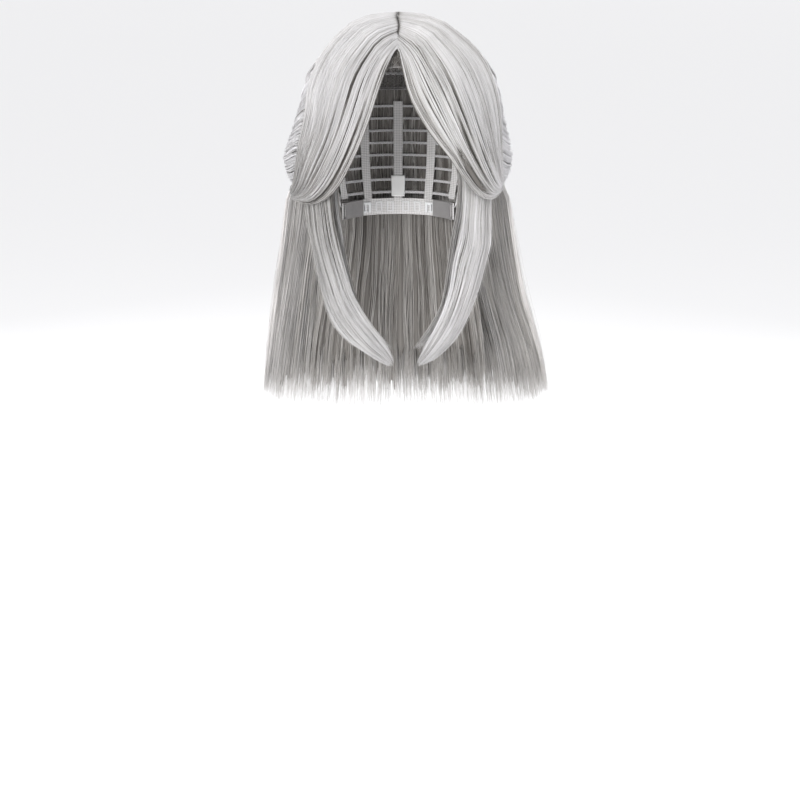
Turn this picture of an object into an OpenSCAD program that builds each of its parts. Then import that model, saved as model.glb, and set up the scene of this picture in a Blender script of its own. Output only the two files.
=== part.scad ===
// Half-up costume wig: long straight synthetic hair on an adjustable wefted cap.
// Millimetres. +Z is up, the face looks along -Y, +X is the wearer's left.
// The origin is the middle of the head opening at brow height.
// "left" and "right" in every name are the wearer's.

/* [Head opening] */
// Half width of the head opening at brow height
head_x = 76; // [74:0.5:78]
// Reach of the head opening in front of the origin
head_front = 94; // [92:0.5:95]
// Reach of the head opening behind the origin
head_back = 98; // [96:0.5:99]
// Height of the crown lining above the brow line
head_z = 100; // [98:0.5:101]

/* [Cap] */
// Thickness of the crown net, the bands and the tapes
cap_t = 0.8; // [0.6:0.1:1]
// Height of the front hairline above the brow line
hairline_z = 62; // [58:1:66]
// Depth of the front band, measured upwards
front_band_h = 15; // [12:1:17]
// How far the ear tabs reach below the brow line
ear_tab_low = 44; // [38:1:47]
// Width of the vertical elastic tapes
tape_w = 10; // [8:1:12]
// Number of weft rows sewn to the back tapes
weft_rows_n = 8; // [6:1:8]
// Height of one weft row
weft_h = 2.4; // [1.8:0.2:3]
// Width of the skin-top parting patch
part_w = 26; // [20:1:30]

/* [Adjusters] */
// Radius of the inside of the nape band
nape_r = 56.6; // [56.4:0.1:56.8]
// Distance of the nape band's centre behind the origin
nape_y = 28.5; // [28:0.1:29]
// Height of the nape band
nape_h = 16; // [15:0.5:17]
// Width of the adjuster elastic
strap_w = 12; // [9:0.5:12.5]
// Thickness of the adjuster elastic
strap_t = 1.2; // [0.8:0.1:1.2]
// Gap between the elastic and what it slides on
slide_gap = 0.3; // [0.3:0.05:0.4]
// Number of loops on each side
loops_n = 3; // [2:1:3]

/* [Hair] */
// Height of the cut ends of the back hair at the middle, below the brow line
back_len = 300; // [290:5:310]
// How much shorter the back hair is cut at its front edges
side_rise = 34; // [20:2:40]
// Thickness of the back hair at the top
back_t = 16; // [14:1:16]
// Thickness of the fringe
fringe_t = 8; // [6:0.5:9]
// Thickness of the front side locks
lock_t = 8; // [6:0.5:9]

/* [Tie] */
// Radius of the hair tie's centre line
tie_r = 7.2; // [6.5:0.1:7.5]
// Radius of the hair tie's section
tie_w = 2.2; // [1.8:0.1:2.4]

/* [Hidden] */
$fn = 48;

hair = [0.80, 0.80, 0.82];
hair_in = [0.66, 0.64, 0.64];
lace = [0.40, 0.39, 0.40];
elastic = [0.78, 0.77, 0.77];
plastic = [0.88, 0.88, 0.88];

// ---------- curves and surfaces ----------

// Smooth curve through four neighbours, between the middle two.
function spline4(a, b, c, d, t) =
    0.5 * (2 * b + (c - a) * t + (2 * a - 5 * b + 4 * c - d) * t * t + (3 * b - a - 3 * c + d) * t * t * t);

// Point at v, from 0 to 1, along the smooth curve through list L.
function along(L, v) =
    let (n = len(L) - 1, x = min(max(v, 0), 1) * n, i = min(floor(x), n - 1),
         a = i > 0 ? L[i - 1] : 2 * L[0] - L[1],
         d = i < n - 1 ? L[i + 2] : 2 * L[n] - L[n - 1])
    spline4(a, L[i], L[i + 1], d, x - i);

// Point at u across and v along the net of guide strands N.
function on_net(N, u, v) = along([for (r = N) along(r, v)], u);

function unit(v) = v / norm(v);

// Outward normal of a net: away from the axis of the neck and head.
function raw_normal(N, u, v) =
    unit(cross(on_net(N, min(u + 0.02, 1), v) - on_net(N, max(u - 0.02, 0), v),
               on_net(N, u, min(v + 0.02, 1)) - on_net(N, u, max(v - 0.02, 0))));
function outward(N) =
    let (p = on_net(N, 0.5, 0.5), n = raw_normal(N, 0.5, 0.5)) n * (p - [0, 15, p[2] * 0.6]) > 0 ? 1 : -1;

// Thickness profile: root, middle and tip values, thinner at the two long edges.
function thick(T, u, v, edge) =
    let (t = v < 0.5 ? T[0] + (T[1] - T[0]) * 2 * v : T[1] + (T[2] - T[1]) * (2 * v - 1))
    t * (edge + (1 - edge) * sqrt(max(0, 1 - pow(2 * u - 1, 2))));

// Closed solid between an outer and an inner grid of points.
module slab(A, B, turn = false) {
    n = len(A);
    m = len(A[0]);
    o = n * m;
    q = concat(
        [for (i = [0 : n - 2], j = [0 : m - 2]) [i * m + j, (i + 1) * m + j, (i + 1) * m + j + 1, i * m + j + 1]],
        [for (i = [0 : n - 2], j = [0 : m - 2]) [o + i * m + j, o + i * m + j + 1, o + (i + 1) * m + j + 1, o + (i + 1) * m + j]],
        [for (i = [0 : n - 2]) each [[i * m, o + i * m, o + (i + 1) * m, (i + 1) * m],
                                     [i * m + m - 1, (i + 1) * m + m - 1, o + (i + 1) * m + m - 1, o + i * m + m - 1]]],
        [for (j = [0 : m - 2]) each [[j, j + 1, o + j + 1, o + j],
                                     [(n - 1) * m + j, o + (n - 1) * m + j, o + (n - 1) * m + j + 1, (n - 1) * m + j + 1]]]);
    f = [for (k = q) each [[k[0], k[1], k[2]], [k[0], k[2], k[3]]]];
    polyhedron(concat([for (r = A) each r], [for (r = B) each r]),
               turn ? [for (k = f) [k[2], k[1], k[0]]] : f, convexity = 8);
}

// A section of hair: its outer surface runs through the guide strands of N.
module hair_section(N, T, nu = 7, nv = 16, edge = 0.35) {
    s = outward(N);
    A = [for (i = [0 : nv]) [for (j = [0 : nu]) on_net(N, j / nu, i / nv)]];
    B = [for (i = [0 : nv]) [for (j = [0 : nu])
        A[i][j] - s * raw_normal(N, j / nu, i / nv) * thick(T, j / nu, i / nv, edge)]];
    slab(A, B, s > 0);
}

function flip_x(N) = [for (r = N) [for (p = r) [-p[0], p[1], p[2]]]];

// ---------- the head opening ----------

// Angle az runs from the face (0) to the wearer's left (90) and the back (180).
// s is 0 at brow height, 1 at the crown and -1 at 90 mm below the brow.
function head_y(az) = cos(az) > 0 ? head_front : head_back;
function on_head(az, s, d) = s >= 0
    ? [(head_x + d) * cos(90 * s) * sin(az), -(head_y(az) + d) * cos(90 * s) * cos(az), (head_z + d) * sin(90 * s)]
    : [(head_x + d) * (1 - 0.16 * s * s) * sin(az), -(head_y(az) + d) * (1 - 0.2 * s * s) * cos(az), 90 * s];
// s at a height z
function s_at(z) = z >= 0 ? asin(min(0.999, z / head_z)) / 90 : z / 90;

// Strip of the cap between two edges given as lists of [az, z].
module cap_strip(low, high, d0, d1, n, m = 3) {
    A = [for (i = [0 : n]) let (a = along(low, i / n), b = along(high, i / n))
         [for (j = [0 : m]) let (p = a + (b - a) * j / m) on_head(p[0], s_at(p[1]), d1)]];
    B = [for (i = [0 : n]) let (a = along(low, i / n), b = along(high, i / n))
         [for (j = [0 : m]) let (p = a + (b - a) * j / m) on_head(p[0], s_at(p[1]), d0)]];
    slab(A, B, low[0][0] < low[len(low) - 1][0]);
}

// Lower edge of the front band from the middle to the left temple, as [az, z].
hairline = [[-62, 2], [-52, 26], [-40, 45], [-26, hairline_z - 5], [0, hairline_z],
            [26, hairline_z - 5], [40, 45], [52, 26], [62, 2]];
band_top = [for (p = hairline) [p[0] * 0.98, p[1] + front_band_h + (abs(p[0]) > 50 ? 6 : 2)]];

module front_band() {
    color(lace) cap_strip(hairline, band_top, 0, cap_t, 36, 3);
}

module crown_net() {
    na = 40;
    ns = 9;
    // the net's edge: above the front band in front, lower at the back
    function edge(az) = 0.2 + 0.46 * pow(max(0, (cos(az) + 0.25) / 1.25), 0.8);
    function pt(i, k, d) = let (az = 360 * k / na, e = edge(az)) on_head(az, e + (0.985 - e) * i / ns, d);
    P = concat([for (i = [0 : ns], k = [0 : na - 1]) pt(i, k, cap_t)], [[0, 0, head_z + cap_t]],
               [for (i = [0 : ns], k = [0 : na - 1]) pt(i, k, 0)], [[0, 0, head_z]]);
    o = (ns + 1) * na + 1;
    function id(i, k) = i * na + k % na;
    f = concat(
        [for (i = [0 : ns - 1], k = [0 : na - 1]) each [[id(i, k), id(i + 1, k), id(i + 1, k + 1)], [id(i, k), id(i + 1, k + 1), id(i, k + 1)]]],
        [for (k = [0 : na - 1]) [id(ns, k), o - 1, id(ns, k + 1)]],
        [for (i = [0 : ns - 1], k = [0 : na - 1]) each [[o + id(i, k), o + id(i + 1, k + 1), o + id(i + 1, k)], [o + id(i, k), o + id(i, k + 1), o + id(i + 1, k + 1)]]],
        [for (k = [0 : na - 1]) [o + id(ns, k), o + id(ns, k + 1), 2 * o - 1]],
        [for (k = [0 : na - 1]) each [[id(0, k), id(0, k + 1), o + id(0, k + 1)], [id(0, k), o + id(0, k + 1), o + id(0, k)]]]);
    color(lace) polyhedron(P, f, convexity = 6);
}

module part_patch() {
    function top(x, y, d) = [x, y, (head_z + d) * sqrt(1 - pow(x / (head_x + d), 2) - pow(y / ((y < 0 ? head_front : head_back) + d), 2))];
    n = 14;
    m = 4;
    A = [for (i = [0 : n]) [for (j = [0 : m]) top(-part_w / 2 + part_w * j / m, -66 + 106 * i / n, cap_t + 0.9)]];
    B = [for (i = [0 : n]) [for (j = [0 : m]) top(-part_w / 2 + part_w * j / m, -66 + 106 * i / n, cap_t + 0.3)]];
    color([0.86, 0.83, 0.80]) slab(A, B, true);
}

// Tab in front of the ear, rounded at its lower end.
module ear_tab_left() {
    n = 10;
    low = [for (i = [0 : n]) [62.6 + 22 * i / n, -ear_tab_low + 26 * pow(abs(2 * i / n - 1), 2.6)]];
    high = [for (i = [0 : n]) [62.6 + 22 * i / n, i < n / 2 ? 12 : 12 - 8 * (2 * i / n - 1)]];
    color(elastic) cap_strip(low, high, 0, cap_t + 0.2, 14, 5);
}
module ear_tab_right() { mirror([1, 0, 0]) ear_tab_left(); }

// Springy stay sewn inside the tab, on the skin side.
module ear_tab_stay_left() {
    n = 12;
    A = [for (i = [0 : n]) [for (a = [71.8, 75.2]) on_head(a, s_at(-36 + 40 * i / n), -0.05)]];
    B = [for (i = [0 : n]) [for (a = [71.8, 75.2]) on_head(a, s_at(-36 + 40 * i / n), -0.85)]];
    color(plastic) slab(A, B, false);
}
module ear_tab_stay_right() { mirror([1, 0, 0]) ear_tab_stay_left(); }

// Band that arches over the ear and runs down to the nape.
module side_band_left() {
    low = [[85.4, 0], [91, -4], [98, -8], [105, -20], [111, -38], [117, -58], [123.5, -80]];
    high = [[85.4, 14], [91, 12], [99, 9], [107, -4], [113.5, -22], [119, -44], [123.5, -66]];
    color(elastic) cap_strip(low, high, 0, cap_t + 0.2, 20, 3);
}
module side_band_right() { mirror([1, 0, 0]) side_band_left(); }

// ---------- nape band and adjusters: everything here turns about one upright axis ----------

nape_z = -84;          // middle height of the nape band
band_end = 72;         // half angle of the nape band
tunnel_from = 40;      // where the strap leaves its tunnel
hook_from = 30;        // tip of the hook in the loosest loop
loop_at = [8, 20, 32]; // the loops, 12 degrees apart
strap_r = nape_r - 1 - strap_t;   // inside of the elastic

// Rectangle r0..r1, z0..z1, turned from angle a0 to a1 off the back, to the wearer's left.
module nape_arc(r0, r1, z0, z1, a0, a1) {
    translate([0, nape_y, 0]) rotate([0, 0, 90 - a1])
        rotate_extrude(angle = a1 - a0, $fn = 96)
            translate([r0, z0]) square([r1 - r0, z1 - z0]);
}

module nape_band() {
    color(elastic) nape_arc(nape_r, nape_r + 1, nape_z - nape_h / 2, nape_z + nape_h / 2, -band_end, band_end);
}

// Inner wall and two seams: with the nape band they make the tunnel.
module strap_tunnel_left() {
    ri = strap_r - slide_gap - cap_t;
    color(lace) translate([0, nape_y, 0]) rotate([0, 0, 90 - band_end])
        rotate_extrude(angle = band_end - tunnel_from, $fn = 96) {
            translate([ri, nape_z - nape_h / 2]) square([cap_t, nape_h]);
            translate([ri, nape_z - nape_h / 2]) square([nape_r - ri, 1]);
            translate([ri, nape_z + nape_h / 2 - 1]) square([nape_r - ri, 1]);
        }
}
module strap_tunnel_right() { mirror([1, 0, 0]) strap_tunnel_left(); }

// Flat thread loops, sewn one after another to the nape band.
module adjuster_loops_left() {
    r0 = strap_r + strap_t + slide_gap;
    color([0.70, 0.70, 0.71])
        for (k = [0 : loops_n - 1]) difference() {
            nape_arc(r0, nape_r, nape_z - 5, nape_z + 5, loop_at[k] - 3.6, loop_at[k] + 3.6);
            nape_arc(r0 - 1, nape_r + 1, nape_z - 3.8, nape_z + 3.8, loop_at[k] - 2.2, loop_at[k] + 2.2);
        }
}
module adjuster_loops_right() { mirror([1, 0, 0]) adjuster_loops_left(); }

module adjuster_strap_left() {
    color(elastic) nape_arc(strap_r, strap_r + strap_t, nape_z - strap_w / 2, nape_z + strap_w / 2, hook_from + 10, band_end - 2);
}
module adjuster_strap_right() { mirror([1, 0, 0]) adjuster_strap_left(); }

// Flat plastic hook: a closed eye for the elastic and a bill that is open at its lower edge.
module adjuster_hook_left() {
    h = hook_from;
    color(plastic) difference() {
        nape_arc(strap_r, strap_r + strap_t, nape_z - 5, nape_z + 5, h, h + 9.8);
        nape_arc(strap_r - 1, strap_r + strap_t + 1, nape_z - 3.4, nape_z + 3.4, h + 7, h + 8.6);
        nape_arc(strap_r - 1, strap_r + strap_t + 1, nape_z - 6, nape_z + 2.6, h + 2.2, h + 5.2);
    }
}
module adjuster_hook_right() { mirror([1, 0, 0]) adjuster_hook_left(); }

// ---------- back of the cap ----------

// Upright tape on the back of the head, centred at angle az, from z1 down to the nape.
module tape(az, z1, z0, w) {
    n = 16;
    function row(z, d) = let (c = on_head(az, s_at(z), d), t = unit([cos(az), sin(az), 0] ))
        [for (j = [-1, 0, 1]) let (p = on_head(az + j * w / 2 / 1.45, s_at(z), d)) p];
    A = [for (i = [0 : n]) row(z0 + (z1 - z0) * i / n, cap_t)];
    B = [for (i = [0 : n]) row(z0 + (z1 - z0) * i / n, 0)];
    slab(A, B, false);
}
module back_tape_centre() { color(elastic) tape(180, 19, -75.6, tape_w); }
module back_tape_left() { color(elastic) tape(154, 19, -75.6, tape_w); }
module back_tape_right() { mirror([1, 0, 0]) back_tape_left(); }
module side_tape_left() { color(elastic) tape(130, 20, -73, tape_w); }
module side_tape_right() { mirror([1, 0, 0]) side_tape_left(); }

// One sewn weft along the head at height z, from angle a0 to a1.
module weft(z, a0, a1, n, d0, h) {
    A = [for (i = [0 : n]) let (a = a0 + (a1 - a0) * i / n) [on_head(a, s_at(z - h / 2), d0 + 1.4), on_head(a, s_at(z + h / 2), d0 + 1.4)]];
    B = [for (i = [0 : n]) let (a = a0 + (a1 - a0) * i / n) [on_head(a, s_at(z - h / 2), d0), on_head(a, s_at(z + h / 2), d0)]];
    slab(A, B, true);
}
module back_weft_rows() {
    color([0.62, 0.61, 0.62])
        for (k = [0 : weft_rows_n - 1]) let (z = 14 - 12 * k, a = 128 - 1.5 * (weft_rows_n - k)) weft(z, a, 360 - a, 18, cap_t + 0.25, weft_h);
}
module crown_weft_rows() {
    color([0.62, 0.61, 0.62])
        for (z = [46, 62, 76, 88]) weft(z, 75, 285, 26, cap_t + 0.25, z > 80 ? 1.6 : weft_h);
}

// Blank fabric tab folded over the top of the nape band.
module care_label() {
    n = 5;
    A = [for (i = [0 : n]) [for (j = [-1, 0, 1]) on_head(180 + j * 5.5, s_at(-74 + 20 * i / n), -0.1)]];
    B = [for (i = [0 : n]) [for (j = [-1, 0, 1]) on_head(180 + j * 5.5, s_at(-74 + 20 * i / n), -0.6)]];
    color([0.93, 0.93, 0.92]) slab(A, B, false);
}

// ---------- hair fixed to the cap ----------

// Fringe: guide strands from the parting to the tuck at the temple.
// First strand is the one beside the face, last the one beside the ear.
fringe_r = [
    [[-0.6, -64, 81], [-9, -84, 68], [-17, -96, 48], [-27, -100, 17], [-40, -94, -16], [-56, -80, -46], [-76, -60, -63], [-96, -32, -62]],
    [[-0.6, -36, 98], [-26, -56, 86], [-46, -72, 62], [-60, -79, 32], [-70, -77, 0], [-80, -66, -30], [-89, -50, -50], [-98, -30, -59]],
    [[-0.6, -2, 108], [-42, -2, 98], [-74, -4, 74], [-89, -8, 44], [-93, -14, 16], [-95, -20, -12], [-97, -25, -36], [-99, -28, -55]]];
fringe_l = [
    [[0.6, -64, 81], [8, -86, 64], [18, -97, 36], [32, -99, 9], [47, -93, -15], [62, -80, -38], [78, -64, -56], [92, -40, -60]],
    [[0.6, -36, 98], [26, -56, 86], [46, -72, 62], [60, -79, 32], [72, -77, 0], [83, -66, -27], [91, -50, -44], [96, -34, -53]],
    [[0.6, -2, 108], [44, -2, 98], [76, -4, 74], [92, -8, 44], [97, -14, 16], [98, -20, -10], [98, -25, -32], [98, -28, -48]]];
module fringe_right() { color(hair) hair_section(fringe_r, [1.8, fringe_t, 5], 9, 20); }
module fringe_left() { color(hair) hair_section(fringe_l, [1.8, fringe_t, 5], 9, 20); }

// Crown hair: from the parting back over the crown and down to the tie.
crown_g = [
    [[-0.8, 2, 108], [-40, 2, 99], [-72, 2, 76], [-88, 4, 57], [-94, 18, 45], [-93, 40, 32], [-80, 68, 15], [-50, 99, -2], [-12, 118, -9]],
    [[-0.8, 22, 108], [-34, 26, 100], [-61, 32, 82], [-76, 40, 65], [-81, 54, 50], [-75, 74, 34], [-56, 96, 17], [-30, 111, 3], [-9, 118, -5]],
    [[-0.8, 42, 103], [-20, 50, 98], [-40, 60, 86], [-50, 72, 70], [-51, 84, 54], [-44, 97, 38], [-31, 108, 21], [-16, 115, 8], [-5, 118, -2]],
    [[-1.5, 60, 95], [-1.5, 70, 90], [-1.5, 82, 80], [-1.5, 92, 68], [-1.5, 100, 55], [-1.5, 106, 41], [-1.5, 111, 27], [-1.5, 115, 12], [-1.5, 118, -1]]];
module crown_hair_right() { color(hair) hair_section(crown_g, [2.8, 9, 6], 9, 16); }
module crown_hair_left() { color(hair) hair_section(flip_x(crown_g), [2.8, 9, 6], 9, 16); }

// Half-up side section: swept from behind the fringe to the tie.
swept_g = [
    [[-89, 4, 49], [-95, 17, 40], [-96, 36, 28], [-86, 62, 12], [-64, 88, -2], [-36, 107, -11], [-12, 118, -14]],
    [[-95, -1, 12], [-101, 12, 6], [-104, 30, 0], [-97, 57, -8], [-72, 89, -14], [-38, 110, -18], [-12, 120, -18]],
    [[-99, -9, -18], [-106, 4, -24], [-110, 22, -27], [-102, 54, -26], [-75, 89, -25], [-39, 111, -24], [-12, 121, -22]],
    [[-97, -14, -44], [-102, -2, -47], [-105, 20, -47], [-97, 52, -42], [-72, 86, -36], [-38, 108, -30], [-12, 119, -27]]];
module swept_side_right() { color(hair) hair_section(swept_g, [9, 14, 6], 8, 14); }
module swept_side_left() { color(hair) hair_section(flip_x(swept_g), [9, 14, 6], 8, 14); }

module hair_tie() {
    color([0.62, 0.62, 0.65]) translate([0, 121, -18.5]) rotate([18, 0, 0])
        rotate_extrude() translate([tie_r, 0]) circle(r = tie_w, $fn = 24);
}

// ---------- long back hair ----------

// Outline of the back hair at 70 mm steps down from z = -20:
// half width, reach behind, middle of the half ellipse, sideways sway.
drape_rows = [[103, 118, 14, 0], [111, 118, 24, 0], [123, 118, 36, 1], [138, 119, 46, 6], [148, 121, 52, 8]];
function drape(az, z, d) = let (r = along(drape_rows, (-20 - z) / 280))
    [r[3] + (r[0] - d) * sin(az), r[2] - (r[1] - d - r[2]) * cos(az), z];
// Cut edge of the back hair
function cut_z(az) = -back_len + side_rise * pow(abs(cos(az)) < 1 ? 1 - abs(cos(az)) : 0, 1.4);

module drape_part(a0, a1, ztop, t0, t1, nu, nv) {
    A = [for (i = [0 : nv]) [for (j = [0 : nu]) let (a = a0 + (a1 - a0) * j / nu, z = ztop + (cut_z(a) - ztop) * i / nv) drape(a, z, 0)]];
    B = [for (i = [0 : nv]) [for (j = [0 : nu]) let (a = a0 + (a1 - a0) * j / nu, z = ztop + (cut_z(a) - ztop) * i / nv) drape(a, z, t0 + (t1 - t0) * i / nv)]];
    slab(A, B, false);
}
module back_hair_left() { color(hair) drape_part(92, 149.8, -60, back_t, 7, 8, 14); }
module back_hair_centre() { color(hair) drape_part(150.2, 209.8, -60, back_t, 7, 8, 14); }
module back_hair_right() { color(hair) drape_part(210.2, 268, -60, back_t, 7, 8, 14); }

// Roots of the back hair, lying on the cap between the side sections and the free hair.
module upper_back_hair() {
    n = 22;
    function zt(a) = -33 - 17 * pow(abs(sin(a)), 2);
    function zb(a) = -46 - 13 * pow(abs(sin(a)), 2);
    A = [for (i = [0 : 3]) [for (j = [0 : n]) let (a = 100 + 160 * j / n) drape(a, zt(a) + (zb(a) - zt(a)) * i / 3, 2)]];
    B = [for (i = [0 : 3]) [for (j = [0 : n]) let (a = 100 + 160 * j / n) drape(a, zt(a) + (zb(a) - zt(a)) * i / 3, 17)]];
    color(hair_in) slab(A, B, false);
}

// Under layer sewn along the nape band, at 48 mm steps down from z = -86.
nape_rows = [[72, 97, 30], [78, 99, 32], [86, 100, 38], [93, 100, 44], [97, 100, 48]];
module nape_hair() {
    function pt(az, w, d) = let (r = along(nape_rows, w)) [(r[0] - d) * sin(az), r[2] - (r[1] - d - r[2]) * cos(az), -88 - 184 * w];
    nu = 12;
    nv = 12;
    A = [for (i = [0 : nv]) [for (j = [0 : nu]) pt(112 + 136 * j / nu, i / nv, 0)]];
    B = [for (i = [0 : nv]) [for (j = [0 : nu]) pt(112 + 136 * j / nu, i / nv, 7 - 3 * i / nv)]];
    color(hair_in) slab(A, B, false);
}

// Tail that falls from the tie over the back hair.
tail_g = [
    [[-9, 124, -32], [-20, 128, -62], [-33, 130, -104], [-41, 130, -152], [-44, 130, -200], [-40, 130, -246], [-28, 129, -276]],
    [[0, 129, -31], [0, 135, -62], [0, 137, -104], [0, 138, -152], [1, 138, -200], [2, 136, -248], [3, 133, -284]],
    [[9, 124, -32], [20, 128, -62], [33, 130, -104], [41, 130, -152], [46, 130, -200], [43, 130, -246], [32, 129, -276]]];
module half_up_tail() { color(hair) hair_section(tail_g, [7, 14, 10], 8, 16, 0.3); }

// ---------- front side locks ----------

lock_r = [
    [[-87, -40, -75], [-82, -45, -100], [-74, -51, -137], [-64, -58, -169], [-50, -65, -187], [-34, -71, -198], [-18, -77, -207], [-7, -81, -211]],
    [[-74, -62, -75], [-71, -64, -98], [-63, -67, -128], [-53, -70, -157], [-39, -74, -179], [-25, -77, -194], [-13, -80, -203], [-5, -82, -210]],
    [[-59, -66, -74], [-55, -68, -94], [-49, -70, -118], [-41, -72, -144], [-27, -74, -168], [-14, -77, -185], [-7, -79, -197], [-3, -81, -208]]];
lock_l = [
    [[87, -40, -75], [87, -45, -100], [83, -50, -118], [75, -56, -146], [65, -61, -170], [54, -67, -188], [36, -75, -204], [19, -81, -211]],
    [[74, -62, -75], [73, -64, -98], [68, -67, -118], [61, -70, -145], [52, -73, -170], [41, -77, -188], [28, -80, -203], [18, -82, -210]],
    [[60, -66, -74], [57, -68, -94], [52, -70, -113], [47, -72, -143], [38, -74, -168], [28, -77, -186], [21, -79, -199], [17, -81, -208]]];
module side_lock_right() { color(hair) hair_section(lock_r, [lock_t, lock_t, 2.5], 7, 18, 0.35); }
module side_lock_left() { color(hair) hair_section(lock_l, [lock_t, lock_t, 2.5], 7, 18, 0.35); }

// Thinner under lock behind each side lock, closer to the face and neck.
inner_r = [
    [[-85, -20, -72], [-81, -26, -100], [-73, -33, -132], [-61, -41, -160], [-43, -51, -180], [-23, -62, -193], [-9, -70, -200]],
    [[-70, -42, -72], [-66, -45, -98], [-60, -47, -128], [-50, -51, -158], [-34, -58, -179], [-19, -66, -191], [-8, -72, -198]],
    [[-54, -48, -72], [-51, -51, -93], [-48, -54, -120], [-39, -57, -154], [-25, -63, -176], [-13, -69, -189], [-6, -73, -196]]];
module inner_lock_right() { color(hair_in) hair_section(inner_r, [5, 5, 2], 6, 14, 0.35); }
module inner_lock_left() { color(hair_in) hair_section([for (r = flip_x(inner_r)) [for (p = r) p + [10 * pow(max(0, (-p[2] - 120) / 80), 1), 0, 0]]], [5, 5, 2], 6, 14, 0.35); }

// ---------- assembly ----------

crown_net();
part_patch();
front_band();
ear_tab_left();
ear_tab_right();
ear_tab_stay_left();
ear_tab_stay_right();
side_band_left();
side_band_right();
nape_band();
strap_tunnel_left();
strap_tunnel_right();
adjuster_loops_left();
adjuster_loops_right();
adjuster_strap_left();
adjuster_strap_right();
adjuster_hook_left();
adjuster_hook_right();
back_tape_centre();
back_tape_left();
back_tape_right();
side_tape_left();
side_tape_right();
back_weft_rows();
crown_weft_rows();
care_label();
crown_hair_left();
crown_hair_right();
fringe_left();
fringe_right();
swept_side_left();
swept_side_right();
upper_back_hair();
hair_tie();
half_up_tail();
back_hair_left();
back_hair_centre();
back_hair_right();
nape_hair();
side_lock_left();
side_lock_right();
inner_lock_left();
inner_lock_right();
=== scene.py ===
import bpy, math
import numpy as np
from mathutils import Vector, Matrix


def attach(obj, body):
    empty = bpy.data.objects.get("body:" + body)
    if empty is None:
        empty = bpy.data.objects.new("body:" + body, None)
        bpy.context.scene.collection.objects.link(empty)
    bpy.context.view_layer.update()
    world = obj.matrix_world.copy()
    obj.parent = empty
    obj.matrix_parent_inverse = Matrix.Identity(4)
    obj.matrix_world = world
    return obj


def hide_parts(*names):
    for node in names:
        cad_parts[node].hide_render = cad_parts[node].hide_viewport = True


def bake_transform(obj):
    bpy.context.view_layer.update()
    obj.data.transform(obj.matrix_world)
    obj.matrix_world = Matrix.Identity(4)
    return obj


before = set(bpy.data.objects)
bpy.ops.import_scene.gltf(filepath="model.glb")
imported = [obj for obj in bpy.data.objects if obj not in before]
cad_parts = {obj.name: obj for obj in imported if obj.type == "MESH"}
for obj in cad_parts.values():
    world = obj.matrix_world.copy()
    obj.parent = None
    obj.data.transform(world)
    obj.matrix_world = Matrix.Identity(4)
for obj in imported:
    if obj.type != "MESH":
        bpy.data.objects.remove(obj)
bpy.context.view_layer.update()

scene = bpy.context.scene
MM = 0.001
UVMAP = "OFBake"

# ------------------------------------------------------------------ camera, light, stage
cam = bpy.data.objects.new("camera", bpy.data.cameras.new("camera"))
scene.collection.objects.link(cam)
cam.location = (0.0019, -1.700, 0.164)
cam.rotation_euler = (math.radians(90 - 14.1), 0, 0)
cam.data.sensor_width = 36
cam.data.lens = 36 * 1789 / 800
cam.data.clip_end = 200
scene.camera = cam
scene.view_settings.view_transform = "Standard"
scene.view_settings.look = "None"


def area(name, loc, target, size, watts, colour=(1, 1, 1)):
    d = bpy.data.lights.new(name, "AREA")
    d.shape = "DISK"
    d.size = size
    d.energy = watts
    d.color = colour
    o = bpy.data.objects.new(name, d)
    scene.collection.objects.link(o)
    o.location = loc
    o.rotation_euler = (Vector(target) - Vector(loc)).to_track_quat("-Z", "Y").to_euler()
    return o


area("key", (-0.60, -1.75, 0.50), (0, 0, -0.08), 0.7, 26, (1.0, 0.995, 0.985))
area("fill", (1.05, -1.45, 0.10), (0, 0, -0.12), 1.0, 8.5, (0.99, 0.99, 1.0))
area("top", (0.05, 0.1, 1.25), (0, 0, 0), 1.0, 2)
area("back_left", (-1.1, 1.3, 0.55), (0, 0, -0.1), 1.1, 9)
area("back_right", (1.1, 1.3, 0.55), (0, 0, -0.1), 1.1, 7)
world = bpy.data.worlds.new("world")
scene.world = world
world.use_nodes = True
world.node_tree.nodes["Background"].inputs["Color"].default_value = (0.985, 0.985, 1.0, 1)
world.node_tree.nodes["Background"].inputs["Strength"].default_value = 0.97


# ------------------------------------------------------------------ materials
def new_mat(name):
    m = bpy.data.materials.new(name)
    m.use_nodes = True
    nt = m.node_tree
    p = nt.nodes["Principled BSDF"]
    return m, nt, p


def ramp(nt, stops):
    r = nt.nodes.new("ShaderNodeValToRGB")
    e = r.color_ramp.elements
    e[0].position, e[0].color = stops[0][0], (*stops[0][1], 1)
    e[1].position, e[1].color = stops[-1][0], (*stops[-1][1], 1)
    for pos, c in stops[1:-1]:
        k = e.new(pos)
        k.color = (*c, 1)
    return r


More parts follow.
